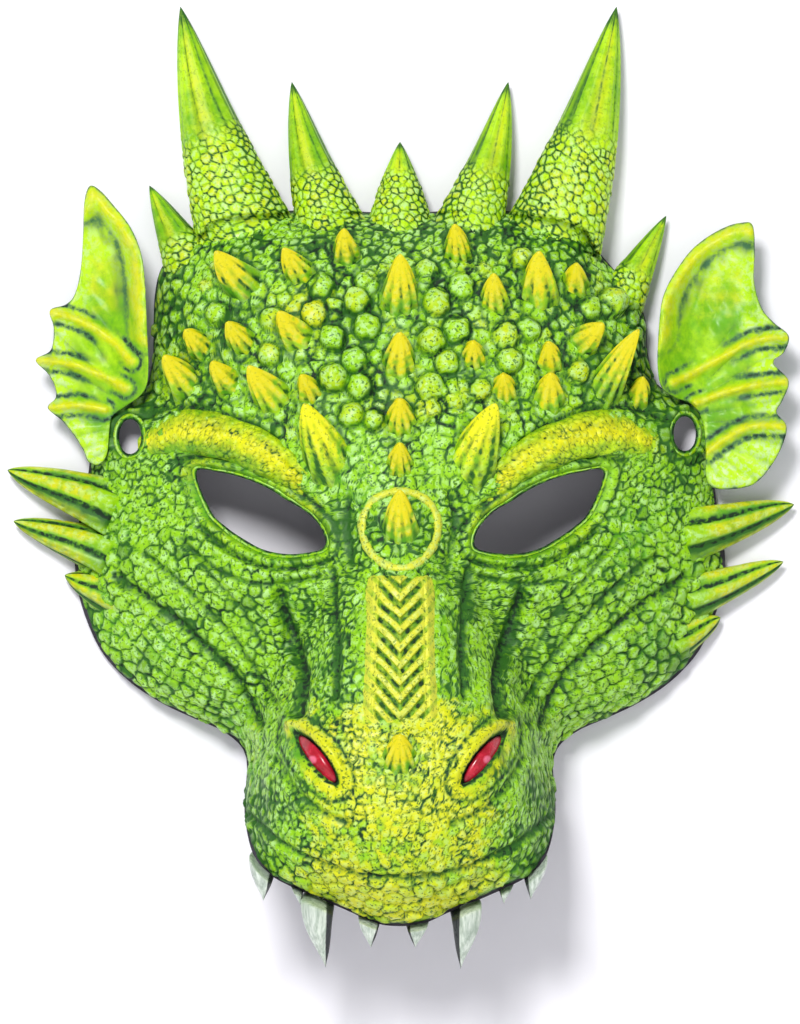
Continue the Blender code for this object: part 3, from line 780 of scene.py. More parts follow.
    # lids, nostril wings and the thorns' roots
    lift += 1.5 * bell(lid - 2.4, 1.7) + 0.7 * bell(lid - 6.2, 1.2)
    lift += 0.9 * bell(strap - 1.6, 1.2)
    wing = bell(nose - 1.9, 1.5) * (nose > 0)
    wing *= 0.25 + 0.75 * blend(-3.0, 3.0, 0.72 * (z + 80.0) - 0.69 * (ax - 27.0))
    lift += skinSettings["wingLift"] * wing - nostrilShape["recess"] * hollow
    lift += skinSettings["mound"] * mound
    lift += 0.22 * ripple(points, 17.0, 3) + 0.10 * ripple(points, 5.0, 4)
    lift *= blend(0.0, 0.012, 1.0 - share) * 0.92 + 0.08 * (share < 0.999)
    lift = np.where(lid < 0.05, 0.3, lift)
    setPoints(piece, points + normals * lift[:, None])

    # painted shade in the grooves round the thorns, lids and nostrils, and at the foam's edge
    for groove in ((0.45 + 0.5 * patchy) * bell(thornGap + 0.3, 1.1) * blend(20.0, 30.0, z),
                   0.7 * bell(lid - 4.3, 0.7), 0.9 * bell(lid, 0.8), 0.85 * bell(nose - 5.2, 0.8),
                   1.0 * (nose < 0.25), 0.85 * bell(share - 1.0, 0.012)):
        crevice = np.maximum(crevice, groove)

    # where the yellow was brushed, and where the face is painted darker
    onTop = (1.0 - blend(22.0, 38.0, ax)) * blend(-56.0, -72.0, z)
    warm = 0.46 * onTop
    warm += 0.12 * blend(-108.0, -120.0, z)
    warm += 0.16 * blend(14.0, 34.0, z) * (0.3 + 1.2 * tint) * (1.0 - blend(82.0, 96.0, z))
    warm += 0.22 * bell(np.hypot((ax - 96.0) / 1.3, z + 27.0), 9.0) * (0.5 + tint)
    warm += 0.16 * bell(lid - 2.6, 2.4) + 0.75 * wing
    warm += 0.10 * ripple(points, 30.0, 8) + 0.30 * (tint - 0.5) * blend(-40.0, -70.0, z) + 0.12 * (tint - 0.5)
    warm += 0.30 * bell(ax - 14.0, 4.0) * (z < -60) * (z > -100)
    # painted shade: darker on the snout's lower sides, under the cheek spikes, beside the bridge, along the creases,
    # inside the bridge ring and where the face rolls away at the top and sides
    dusk = 0.75 * blend(36.0, 47.0, ax) * blend(-80.0, -92.0, z)
    dusk += 0.55 * bell(np.hypot(ax - 87.0, z + 48.0), 7.0)
    dusk += 0.45 * bell(ax - 20.0, 6.0) * blend(6.0, -4.0, z) * blend(-70.0, -52.0, z)
    dusk += 0.35 * bell(np.hypot(ax - 36.0, (z + 40.0) / 2.6), 6.0)
    dusk += 0.25 * bell(np.hypot(x, z + 4.5) - 8.0, 3.5)
    dusk += 0.30 * blend(80.0, 98.0, z) + 0.30 * bell(ax - 84.0, 8.0) * blend(20.0, 40.0, z)
    # darker tone at random, patch by patch and scale by scale, and a little on the forehead
    dusk += 0.08 + 0.22 * ripple(points, 22.0, 21) + 0.42 * (dim > 0.80) + 0.12 * (dim - 0.5)
    dusk += 0.10 * blend(22.0, 34.0, z)
    # darker round the strap holes
    dusk += 0.5 * bell(strap, 4.0)
    dusk *= 1.0 - 0.7 * onTop
    dusk = np.clip(dusk, 0.0, 1.0) * (1.0 - 0.7 * np.clip(bead, 0, 1))
    setFields(piece, {"crevice": crevice, "crest": np.clip(crest + 0.35 * bead, 0, 1),
                      "warm": warm + 0.16 * np.clip(bead, 0, 1), "dusk": dusk})
    print("skin shaped:", count, "points,", len(centres), "scales")
    return piece


def splitSkin(piece):
    # each panel keeps the whole skin's shading at the seams
    piece.data.materials.append(skinPaint)
    normals = getNormals(piece)
    for k, axis in enumerate("XYZ"):
        setField(piece, "lean" + axis, 0.5 + 0.5 * normals[:, k])
    limits = skinSettings["limits"]
    centre = np.empty(len(piece.data.polygons) * 3, np.float32)
    piece.data.polygons.foreach_get("center", centre)
    cx, cz = centre[0::3] / mm, centre[2::3] / mm
    snout = (cz < -40) & (np.abs(cx) < limits["snoutHalf"] - 0.35 * (cz + 100))
    region = np.where(cz > limits["forehead"], 0, np.where(snout, 3, np.where(cx > 0, 1, 2)))
    panels = []
    names = ["faceForehead", "faceCheekLeft", "faceCheekRight", "faceSnout"]
    for number in (0, 1, 2):
        selectOnly(piece)
        unmark(piece.data.vertices, piece.data.edges)
        piece.data.polygons.foreach_set("select", region == number)
        bpy.ops.object.mode_set(mode="EDIT")
        bpy.ops.mesh.select_mode(type="FACE")
        bpy.ops.mesh.separate(type="SELECTED")
        bpy.ops.object.mode_set(mode="OBJECT")
        made = next(o for o in bpy.context.selected_objects if o is not piece)
        made.name = made.data.name = names[number]
        panels.append(made)
        region = region[region != number]
    piece.name = piece.data.name = names[3]
    panels.append(piece)
    for panel in panels:
        lean = np.stack([getField(panel, "lean" + axis) for axis in "XYZ"], 1) * 2.0 - 1.0
        world = turned(lean)
        world /= np.maximum(np.linalg.norm(world, axis=1), 1e-6)[:, None]
        panel.data.shade_smooth()
        panel.data.normals_split_custom_set_from_vertices([tuple(n) for n in world])
        for name in ("leanX", "leanY", "leanZ", "share"):
            panel.data.attributes.remove(panel.data.attributes[name])
        finishPiece(panel, skinPaint, "painted_foam_lime", "face_shell")
    print("panels:", {p.name: len(p.data.polygons) for p in panels})


splitSkin(shapeSkin())


# thorns, brow horns and the spikes on the bridge and nose: fluted like melted wax

thornSettings = {"around": 56, "along": 36, "flute": 0.12, "drip": 0.08, "sink": 1.3, "wide": 1.18, "back": 0.20,
                 "deepest": 3.2, "cap": 0.045}
thornRise = {"side": 5.2, "crown": 5.8, "brow": 7.6, "nose": 5.4}


def makeThorn(name, node, spot, rise, seed, material=None, lobes=0, flute=None, shadeSide=0):
    # spot holds foot, tip and width; shadeSide darkens one flank
    base, tip, width = spot
    rng = np.random.RandomState(seed)
    lobes = lobes or int(rng.choice([5, 6, 7]))
    turn, twist = rng.uniform(0.0, 6.283), rng.uniform(-0.8, 0.8)
    flute = flute or thornSettings["flute"]
    baseAt, tipAt = np.array(base, float), np.array(tip, float)
    baseAt = baseAt - (tipAt - baseAt) * thornSettings["back"]
    base, width = tuple(baseAt), width * thornSettings["wide"]
    lean = (tipAt - baseAt) / np.linalg.norm(tipAt - baseAt)
    foot = float(skinDepth(*base)) - thornSettings["sink"]
    point = max(float(skinDepth(*tip)), float(skinDepth(*base))) + rise

    def shape(u, v):
        a = 2.0 * math.pi * u
        t = stretched(v, 0.0, thornSettings["cap"])
        wave = np.cos(lobes * a + turn + twist * t + 0.9 * np.sin(a + 2.0 * turn))
        small = np.cos((2 * lobes + 1) * a + 2.1 * turn)
        size = 1.04 * (1.0 - t ** 1.6) ** 0.74 * (v > 0.001)
        size *= 1.0 + (flute * wave + 0.035 * small) * (1.0 - t) ** 0.7
        size *= 1.0 + thornSettings["drip"] * (0.5 + 0.5 * wave) * bell(t, 0.22)
        across, along = 0.5 * width * size * np.cos(a), 0.62 * width * size * np.sin(a)
        wobble = 0.5 * np.sin(4.5 * t + turn) * (1.0 - t)
        x = base[0] + (tip[0] - base[0]) * t - lean[1] * (across + wobble) + lean[0] * along
        z = base[1] + (tip[1] - base[1]) * t + lean[0] * (across + wobble) + lean[1] * along
        # the foot follows the skin, and the body leaves it towards the tip
        seat = skinDepth(x, z) - thornSettings["sink"]
        depth = seat + (foot + (point - foot) * t - seat) * blend(0.0, 0.5, t)
        depth = np.maximum(depth, seat + thornSettings["sink"] - thornSettings["deepest"])
        points = np.stack([x, depth, z], 1)
        valley = 0.5 - 0.5 * wave
        grain = 0.5 + 0.5 * ripple(points, 2.6, seed + 7)
        low = 1.0 - blend(0.62, 0.95, t)
        # dark in the flutes and at the foot, lighter on the ridges, darker low down and, with shadeSide, on one flank:
        # painted shade and highlight with washed-in paint; yellow towards the tip
        fields = {"crevice": 0.62 * blend(0.45, 0.95, valley) * low * (0.4 + 0.6 * grain) + 0.5 * bell(t - 0.02, 0.10)
                             + 0.30 * grain * (1.0 - blend(0.35, 0.6, t)),
                  "crest": (1.0 - valley) * (0.4 + 0.6 * grain) * (1.0 - 0.5 * t),
                  "warm": 0.10 + 0.70 * blend(0.26, 0.90, t + 0.22 * (grain - 0.5)) * (0.70 + 0.35 * (1.0 - valley)),
                  "dusk": 0.30 * (1.0 - blend(0.20, 0.55, t)) + 0.20 * (grain > 0.8) * (1.0 - blend(0.6, 0.9, t))}
        if shadeSide:
            shaded = blend(-0.1, 0.8, -shadeSide * np.cos(a)) * (1.0 - blend(0.75, 1.0, t))
            fields["dusk"] = fields["dusk"] + 0.55 * shaded * grain
            fields["warm"] = fields["warm"] * (1.0 - 0.35 * shaded)
        return points, fields

    piece = wrapGrid(name, thornSettings["around"], thornSettings["along"], shape)
    finishPiece(piece, material or thornPaint, "painted_foam_yellow", node)


def allThorns():
    for label in ("right", "left"):
        for i, spot in enumerate(thornSpots[label], 1):
            makeThorn(f"thorn{label.capitalize()}{i:02d}", f"thorn_{label}_{i:02d}", spot, thornRise["side"],
                      40 + i + 20 * (label == "left"))
    for i, spot in enumerate(thornSpots["centre"], 1):
        makeThorn(f"crownThorn{i}", f"crown_thorn_{i}", spot, thornRise["crown"], 90 + i, lobes=7)
    for side, spot in zip(("Left", "Right"), thornSpots["brow"]):
        makeThorn("browHorn" + side, "brow_horn_" + side.lower(), spot, thornRise["brow"], 101 + (side == "Left"),
                  browPaint, 7, 0.06, 1 if side == "Left" else -1)
    for name, node, spot, seed, lobes, flute in (
            ("bridgeSpike", "bridge_spike", "bridge", 111, 7, 0.06),
            ("noseTipSpike", "nose_tip_spike", "noseTip", 113, 9, 0.14)):
        makeThorn(name, node, thornSpots[spot][0], thornRise["nose"], seed, lobes=lobes, flute=flute)
    print("thorns made")


# tapering pieces: horns, cheek spikes and teeth

def taperPoints(spot, u, t, rootDepth, tipDepth):
    # spot holds root, tip, half width, half thickness and bow; returns the axis, how far the
    # surface stands off it, the way outwards, and the thickness left
    base, tip, wide, thick, bow = spot
    base, tip = np.array(base, float), np.array(tip, float)
    along = tip - base
    side = np.array((along[1], -along[0])) / np.linalg.norm(along)
    a = 2.0 * math.pi * u
    size = (1.0 - t) ** 0.85 + 0.06 * (1.0 - t ** 6)
    shift = bow * np.sin(math.pi * t)
    x = base[0] + along[0] * t + side[0] * shift
    z = base[1] + along[1] * t + side[1] * shift
    depth = rootDepth + (tipDepth - rootDepth) * t
    out = np.stack([side[0] * np.cos(a), np.sin(a), side[1] * np.cos(a)], 1)
    axis = np.stack([x, depth, z], 1)
    reach = np.stack([side[0] * wide * np.cos(a), thick * np.sin(a), side[1] * wide * np.cos(a)], 1)
    return axis, reach * size[:, None], out, size


def seatRoot(points, t, start, run, proud=0.2, least=4.0):
    # the root of a piece lies in the skin and climbs out of it, and none of it comes through the foam
    seat = skinDepth(points[:, 0], points[:, 2])
    sunk = 1.0 - blend(start + 0.02, start + 0.02 + run, t)
    seated = np.clip(points[:, 1], seat - least, seat + proud + 6.0 * blend(start, start + 0.8 * run, t))
    points[:, 1] += np.where(seat > least, (seated - points[:, 1]) * sunk, 0.0)
    points[:, 1] = np.where(seat > least, np.maximum(points[:, 1], seat - least), points[:, 1])


hornSpots = {
    "BigLeft": ((48.5, 86), (72, 169), 16.5, 12.5, 2.0),
    "BigRight": ((-48.5, 86), (-73, 169), 16.5, 12.5, -2.0),
    "MidLeft": ((20.5, 90), (36, 144), 11.5, 10.5, 1.5),
    "MidRight": ((-20.5, 90), (-36, 144), 11.5, 10.5, -1.5),
    "SmallLeft": ((71.5, 68), (88.5, 99.5), 8.2, 7.0, 0.0),
    "SmallRight": ((-68.5, 80.5), (-83.3, 109.5), 8.8, 7.0, 0.0),
    "Centre": ((0, 90), (0, 124), 12.0, 10.0, 0.0),
}
hornSettings = {"around": 132, "aroundSmall": 76, "along": 1.8, "start": 0.06, "cap": 0.012, "tipDepth": 3.0,
                "pitch": 2.3, "run": 0.15, "flutes": (7, 0.030), "fineFlutes": (15, 0.016),
                "scalesEnd": {"Big": 0.50, "Mid": 0.46, "Sma": 0.42, "Cen": 0.72}}


def makeHorn(label, spot, seed):
    base, tip, wide, thick, bow = spot
    length = math.hypot(tip[0] - base[0], tip[1] - base[1])
    along = int(length * hornSettings["along"]) + 20
    end = hornSettings["scalesEnd"][label[:3]]
    start = hornSettings["start"]
    (many, high), (manyFine, highFine) = hornSettings["flutes"], hornSettings["fineFlutes"]
    inner = -1.0 if "Left" in label else 1.0

    def shape(u, v):
        t = stretched(v, start, hornSettings["cap"])
        axis, reach, out, size = taperPoints(spot, u, t, thick + 1.5, hornSettings["tipDepth"])
        reach = reach * (v > 0.001)[:, None]
        a = 2.0 * math.pi * u
        smooth = blend(end - 0.10, end + 0.08, t)
        flute = (high * np.cos(many * a + seed) + highFine * np.cos(manyFine * a + 2.0 * seed)) * smooth
        reach = reach * (1.0 + flute)[:, None]
        points = axis + reach
        pitch = np.where(t < end + 0.1, hornSettings["pitch"] * (0.8 + 0.5 * size), 0.0)
        pitch = pitch * (1.0 + 0.25 * ripple(points, 9.0, seed + 3))
        centres, sizes = spreadCentres(points, pitch, seed, tries=9000)
        border, owner, half = scaleCover(points, centres, sizes)[:3]
        rounded = np.clip(border / np.maximum(0.9 * half, 0.6), 0.0, 1.0)
        dome = np.sqrt(1.0 - (1.0 - rounded) ** 2)
        tint = np.random.RandomState(seed).uniform(0.0, 1.0, len(centres))[owner]
        scaly = (1.0 - smooth) * (v > 0.001)
        lift = (0.75 * dome * (0.7 + 0.6 * tint) - 0.3) * scaly
        points = points + out * lift[:, None]
        seatRoot(points, t, start, hornSettings["run"])
        valley = 0.5 - 0.5 * np.cos(many * a + seed)
        fine = 0.5 + 0.5 * np.cos(manyFine * a + 2.0 * seed + 1.5 * np.sin(6.0 * t))
        front = np.sin(a)
        innerSide = blend(0.35, 0.95, np.cos(a) * inner)
        # yellow down the middle of the side that faces forward: partly the yellow paint, partly painted highlight
        frontYellowHighlight = bell(np.cos(a) + 0.15 * inner, 0.42) * (front > 0)
        tipDark = blend(0.88, 0.985, t)
        # dark between the scales and in the flutes, lighter on their tops: washed-in paint with painted shade and
        # highlight; painted shade on the side towards the middle and at the root; dark tips and a darker back
        fields = {
            "crevice": (0.55 + 0.35 * (tint > 0.5)) * (1.0 - blend(0.0, 0.52, border)) * scaly
                       + 0.30 * blend(0.7, 1.0, valley) * smooth
                       + 0.30 * blend(0.75, 1.0, fine) * smooth + 0.35 * tipDark,
            "crest": blend(0.3, 1.0, dome) * scaly + 0.25 * (1.0 - valley) * smooth,
            "warm": (0.10 + 0.34 * tint) * scaly + (0.10 + 0.30 * frontYellowHighlight) * smooth * (1.0 - tipDark),
            "dusk": 0.50 * innerSide + 0.5 * tipDark + (0.14 + 0.25 * (tint > 0.75)) * scaly
                    + 0.3 * bell(t - start, 0.08) + 0.6 * (front < -0.25),
        }
        return points, fields

    around = hornSettings["aroundSmall" if "Small" in label else "around"]
    piece = wrapGrid("horn" + label, around, along, shape)
    node = "horn_" + {"Big": "big_", "Mid": "mid_", "Sma": "small_", "Cen": "centre"}[label[:3]]
    node += "left" if "Left" in label else "right" if "Right" in label else ""
    finishPiece(piece, hornPaint, "painted_foam_horn", node)


def allHorns():
    for i, (label, spot) in enumerate(hornSpots.items()):
        makeHorn(label, spot, 200 + 3 * i)
    print("horns made")


cheekSpots = {
    "UpperLeft": ((93, -7.5), (131, 3.5), 8.2, 6.5, 0.0),
    "UpperRight": ((-93, 1.5), (-130.5, 15), 8.6, 6.5, 0.0),
    "MiddleLeft": ((94, -28), (127.5, -15.5), 6.8, 5.5, 0.0),
    "MiddleRight": ((-95, -13.5), (-128.5, -2), 7.4, 5.5, 0.0),
    "LowerLeft": ((90, -42), (106.5, -34), 6.4, 5.5, 0.0),
    "LowerRight": ((-88, -30), (-111.5, -20), 7.6, 6.0, 0.0),
}
cheekSettings = {"around": 56, "along": 60, "start": 0.0, "cap": 0.02, "tipDepth": 3.5, "ribs": 5, "fineRibs": 13,
                 "run": 0.16, "sunk": 0.8, "least": 3.0}


def cheekSpikes():
    for i, (label, spot) in enumerate(cheekSpots.items()):
        def shape(u, v, spot=spot, seed=301 + i):
            t = stretched(v, cheekSettings["start"], cheekSettings["cap"])
            axis, reach = taperPoints(spot, u, t, spot[3] + 2.5, cheekSettings["tipDepth"])[:2]
            a = 2.0 * math.pi * u
            wave = np.cos(cheekSettings["ribs"] * a + 0.6 * seed + 0.8 * np.sin(4.0 * t))
            fine = np.cos(cheekSettings["fineRibs"] * a + seed + 1.2 * np.sin(5.0 * t))
            full = (1.0 - 0.92 * t) ** -0.28
            reach = reach * ((1.0 + 0.15 * wave * (1.0 - 0.5 * t) + 0.03 * fine) * full * (v > 0.001))[:, None]
            points = axis + reach
            seatRoot(points, t, cheekSettings["start"], cheekSettings["run"], -cheekSettings["sunk"],
                     cheekSettings["least"])
            valley = 0.5 - 0.5 * wave
            grain = 0.5 + 0.5 * ripple(points, 3.4, seed)
            under = blend(0.1, 0.8, -np.cos(a) * np.sign(-spot[0][0]))
            # painted shade: darker on the underside and in the flutes, lighter on the ribs with painted highlights;
            # darker on the back and at the tip
            fields = {"crevice": 0.95 * blend(0.62, 0.97, valley) + 0.25 * blend(0.6, 1.0, 0.5 + 0.5 * fine) * grain,
                      "crest": (1.0 - valley) * (0.6 + 0.4 * grain),
                      "warm": 0.36 * blend(0.2, 0.7, 1.0 - valley) * blend(0.10, 0.35, t) + 0.1 * grain,
                      "dusk": 0.75 * under + 0.5 * (np.sin(a) < -0.2) + 0.3 * blend(0.85, 1.0, t)}
            return points, fields

        piece = wrapGrid("cheekSpike" + label, cheekSettings["around"], cheekSettings["along"], shape)
        place, side = ("Upper", "Middle", "Lower")[i // 2].lower(), "left" if "Left" in label else "right"
        finishPiece(piece, thornPaint, "painted_foam_yellow", f"cheek_spike_{place}_{side}")
    print("cheek spikes made")


# root, tip, half width and how far the tooth hooks
toothSpots = {
    "fang_left": ((20.5, -118), (20, -149.5), 5.4, 1.0), "fang_right": ((-26, -116), (-24.5, -149), 5.8, 1.0),
    "tooth_outer_left": ((43.8, -106), (43, -126.5), 4.6, 0.5),
    "tooth_outer_right": ((-43.6, -106), (-45, -127), 5.0, 0.5),
    "tooth_side_left": ((34, -112), (34.2, -128), 3.6, 0.4),
    "tooth_side_right": ((-34, -112), (-32.8, -128.5), 3.0, 0.4),
    "tooth_front_left": ((5, -126), (5, -142.5), 4.4, 0.4), "tooth_front_right": ((-9, -126), (-9.6, -142.5), 4.0, 0.4),
}
toothSettings = {"around": 40, "along": 44, "depth": 61.5, "tipDepth": 63.0, "start": 0.12, "cap": 0.025,
                 "behind": 0.8, "slope": 3.5, "flat": 0.85, "forward": 2.5, "neck": (0.45, 0.20)}


def toothMaterial():
    # pale resin look, near black down the side towards the middle of the mouth, on the back and at the tip
    material, tree, shader = newMaterial("paleToothPaint")
    coords = onPiece(tree)
    streaks = addNode(tree, "ShaderNodeMapping", [("Vector", coords), ("Scale", (900.0, 900.0, 120.0))]).outputs[0]
    grain = noiseAt(tree, streaks, 1.0, 3.0, 0.6)
    mottle = noiseAt(tree, coords, 260.0, 2.0)
    body = mixed(tree, eased(tree, grain, 0.30, 0.75), (0.38, 0.46, 0.38, 1.0), (0.76, 0.82, 0.74, 1.0))
    uneven = maths(tree, "MULTIPLY", maths(tree, "SUBTRACT", mottle, 0.5), 0.35)
    edge = maths(tree, "ADD", fieldAt(tree, "dusk"), uneven)
    colour = mixed(tree, eased(tree, edge, 0.30, 0.72), body, (0.030, 0.034, 0.036, 1.0))
    root = maths(tree, "MULTIPLY", fieldAt(tree, "warm"), 0.6)
    colour = mixed(tree, root, colour, (0.20, 0.36, 0.10, 1.0))
    wireShader(tree, shader, colour, scaledSum(tree, [(grain, 0.25)], 0.18))
    addBump(tree, shader, grain, 0.2 * mm, 0.3)
    shader.inputs["Subsurface Weight"].default_value = 0.25
    shader.inputs["Subsurface Radius"].default_value = (0.003, 0.003, 0.003)
    return material


def allTeeth():
    paint = toothMaterial()
    for i, (node, (root, tip, wide, hook)) in enumerate(toothSpots.items()):
        towardsMiddle = -1.0 if root[0] > 0 else 1.0
        spot = (root, tip, wide, toothSettings["flat"] * wide, 0.0)

        def shape(u, v, spot=spot, seed=401 + i, hook=hook, middle=towardsMiddle):
            t = stretched(v, toothSettings["start"], toothSettings["cap"])
            axis, reach, _, size = taperPoints(spot, u, t, toothSettings["depth"], toothSettings["tipDepth"])
            a = 2.0 * math.pi * u
            blunt = (1.0 - t ** 7) * (1.0 + 1.2 * t * (1.0 - t)) * (1.0 - 0.92 * t) ** -0.34
            least, run = toothSettings["neck"]
            neck = least + (1.0 - least) * blend(toothSettings["start"], toothSettings["start"] + run, t)
            facets = (1.0 + 0.05 * np.cos(5 * a + seed)) * (v > 0.001)
            reach = reach * (facets * (0.35 + 0.65 * blunt) * neck)[:, None]
            points = axis + reach
            points[:, 0] -= middle * 1.6 * hook * np.sin(math.pi * t) ** 2
            forward = toothSettings["forward"] * hook * np.sin(math.pi * t)
            points[:, 1] += forward
            # behind the lip the whole tooth stands back, so that the lip's edge hides its root
            x, z = points[:, 0], points[:, 2]
            away, edge = fromCentre(x, z)
            room = skinDepth(x, z) - toothSettings["behind"] + toothSettings["slope"] * np.maximum(away - edge, 0.0)
            front = axis[:, 1] + forward + spot[3] * size * neck
            points[:, 1] -= np.maximum(front - room, 0.0)
            spread = np.cos(a) * np.sign(reach[:, 0] * np.cos(a) + 1e-9) * middle
            inward = blend(0.62 - 0.34 * hook, 0.92 - 0.30 * hook, spread + 0.10 * np.sin(9.0 * t + seed))
            fields = {"dusk": 0.95 * inward + 0.9 * (np.sin(a) < -0.30) + 0.5 * blend(0.90, 1.0, t),
                      "warm": 1.0 - blend(0.18, 0.45, t)}
            return points, fields

        name = "".join(w.capitalize() for w in node.split("_"))
        piece = wrapGrid(name[0].lower() + name[1:], toothSettings["around"], toothSettings["along"], shape)
        finishPiece(piece, paint, "painted_foam_tooth", node)
    print("teeth made")


# ear fins: a cupped fan with raised ribs, thick rim and thin membranes

earSpots = {
    "Left": {
        "root": (103, 45),
        "outline": [
            (85.5, 60), (86.5, 70), (88.5, 76), (92, 82), (96.5, 88), (102, 92.5), (108, 95.8), (113, 97.2),
            (117, 96.5), (117.8, 88), (117.6, 78), (120, 69), (124, 64), (129, 59.5), (127.5, 54),
            (124, 50.5), (129, 44.5), (127, 38), (125, 34), (128.3, 29.3), (126.5, 22), (122, 14.5),
            (117, 9.8), (110, 8.4), (104, 8.8), (101.6, 12), (101.4, 20), (100.6, 30), (97, 36.5),
            (91, 39), (86.5, 42.5), (85.2, 50)],
        "ribs": [[(129, 59), (118, 58), (108, 53), (98, 47.5), (91, 44)],
                 [(128.5, 44.3), (117, 43), (107, 40.5), (98, 37)],
                 [(128, 29.3), (117, 29.5), (109, 26), (102, 21)]],
    },
    "Right": {
        "root": (-98, 45),
        "outline": [
            (-83.6, 60), (-84, 70), (-84.6, 80), (-86, 88), (-89.5, 96), (-95, 103), (-99.5, 108),
            (-103, 109.5), (-104.8, 104), (-105.2, 94), (-106, 82), (-108, 73.5), (-111, 70), (-116.3, 68),
            (-115, 62), (-116, 54.8), (-121, 51.5), (-117, 47), (-114.6, 42.5), (-114.4, 38.8),
            (-117, 35.5), (-112, 31), (-108, 26), (-105, 21), (-103.5, 17.5), (-100, 16.5), (-97.2, 20),
            (-96.4, 28), (-95.4, 32.5), (-91, 36), (-86.5, 39), (-83.8, 43), (-83.2, 50)],
        "ribs": [[(-116, 67.5), (-105, 64), (-96, 58), (-89, 51)],
                 [(-120.5, 51.5), (-109, 50), (-99, 46.5), (-91, 42)],
                 [(-116.7, 35.5), (-107, 36.5), (-98, 35)]],
    },
}
earSettings = {"around": 300, "along": 76, "wall": 4.0, "frontPart": 0.82, "rib": 2.3, "rimPoints": 9, "rim": 2.0,
               "depth": 11.0, "fold": 102.0, "veins": 17.0, "bowl": 1.2, "web": 0.9}


def earFront(x, z):
    # cupped about its fold, more steeply towards the head
    past = np.abs(x) - earSettings["fold"]
    cup = np.where(past < 0, 0.045 * past ** 2, 0.012 * past ** 2)
    return earSettings["depth"] + cup + 0.0012 * (z - 50.0) ** 2


def makeEar(label):
    facts = earSpots[label]
    loop = smoothCurve(facts["outline"] + facts["outline"][:1], 8, closed=False)
    walked = walkAlong(loop)
    root = np.array(facts["root"], float)

    def shape(u, v):
        front = v <= earSettings["frontPart"]
        share = np.where(front, v / earSettings["frontPart"], (1.0 - v) / (1.0 - earSettings["frontPart"]))
        at = u * walked[-1]
        ex, ez = np.interp(at, walked, loop[:, 0]), np.interp(at, walked, loop[:, 1])
        x, z = root[0] + (ex - root[0]) * share, root[1] + (ez - root[1]) * share
        rib = np.zeros(len(u))
        side = np.zeros(len(u))
        for line in facts["ribs"]:
            d, spot = nearLine(x, z, smoothCurve(line, 5, closed=False))
            rib = np.maximum(rib, bell(d, 1.7))
            side = np.maximum(side, bell(d - 3.3, 1.0))
        rimLine = smoothCurve(facts["outline"][:earSettings["rimPoints"]], 5, closed=False)
        edge = nearLine(x, z, rimLine)[0]
        rimRise = bell(edge - 2.6, 2.4)
        spread = np.arctan2(z - root[1] + 14.0, np.abs(x) - abs(root[0]) + 16.0)
        vein = np.abs(np.sin(spread * earSettings["veins"])) ** 0.6
        points2 = np.stack([x, z], 1)
        web = blend(70.0, 60.0, z) * blend(2.0, 8.0, np.abs(x) - abs(root[0]) + 6.0)
        bowl = blend(60.0, 74.0, z)
        lift = earSettings["rib"] * rib + earSettings["rim"] * rimRise
        lift -= earSettings["web"] * (1.0 - vein) * web * (1.0 - rib)
        lift -= earSettings["bowl"] * bowl * (1.0 - rimRise) * bell(share - 0.6, 0.4) + 0.4 * (1.0 - vein) * bowl
        lift += 0.25 * ripple(points2, 6.0, 31)
        lift *= blend(0.0, 0.10, 1.0 - share) * 0.75 + 0.25
        lift -= 0.9 * bell(share - 1.0, 0.03)
        backDepth = earFront(x, z) - earSettings["wall"] + 0.9 * bell(share - 1.0, 0.05) + 0.5 * rib
        depth = np.where(front, earFront(x, z) + lift, backDepth)
        grain = 0.5 + 0.5 * ripple(points2, 8.0, 33, 11)
        outer = blend(0.45, 0.80, share) * (1.0 - rib) * (1.0 - rimRise)
        # dark beside the ribs, between the veins, along the foam's edge and in a band inside the rim: washed-in paint
        # with painted shade; webs and bowl lighter and silvery towards the edge, with painted highlights
        fields = {
            "crevice": 0.80 * side * blend(0.2, 0.5, share) + 0.26 * (1.0 - vein) * (web + 0.4 * bowl)
                       + 0.75 * bell(share - 1.0, 0.018) + 0.4 * bell(edge - 6.8, 1.1),
            "crest": 0.5 * rib + 0.4 * rimRise + (0.72 * bowl + 1.0 * web) * outer * (0.65 + 0.35 * vein),
            "warm": 0.56 * rib + 0.42 * rimRise + 0.30 * bell(share - 0.45, 0.3) * bowl + 0.14 * grain,
            "dusk": 0.34 * web * (1.0 - rib) * (1.0 - 0.6 * rimRise) * (0.35 + 0.65 * grain)
                    + 0.75 * bowl * bell(edge - 8.0, 2.8) * (0.5 + 0.5 * grain) + 0.10 * bowl,
        }
        behind = {"crevice": 0.3, "crest": 0.2 * grain, "warm": 0.0, "dusk": 0.45 + 0.3 * grain}
        fields = {name: np.where(front, value, behind[name]) for name, value in fields.items()}
        return np.stack([x, depth, z], 1), fields

    piece = wrapGrid("ear" + label, earSettings["around"], earSettings["along"], shape)
    finishPiece(piece, finPaint, "painted_foam_fin", "ear_" + label.lower())


# heavy brow ridges that follow the skin over each eye

# points of each ridge, as (x, z, half height, how proud it stands)
browLine = [(87, 22, 2.4, 0.0), (79, 25.5, 5.4, 1.8), (71, 27.6, 7.2, 3.8), (62, 26.6, 7.6, 4.8), (55, 24.6, 7.0, 4.5),
            (49, 22.0, 7.4, 5.2), (41, 17.4, 6.6, 4.6), (34, 11.6, 5.2, 2.8), (27.5, 5.0, 3.0, 0.0)]
browSettings = {"around": 64, "along": 150, "pitch": 2.3}


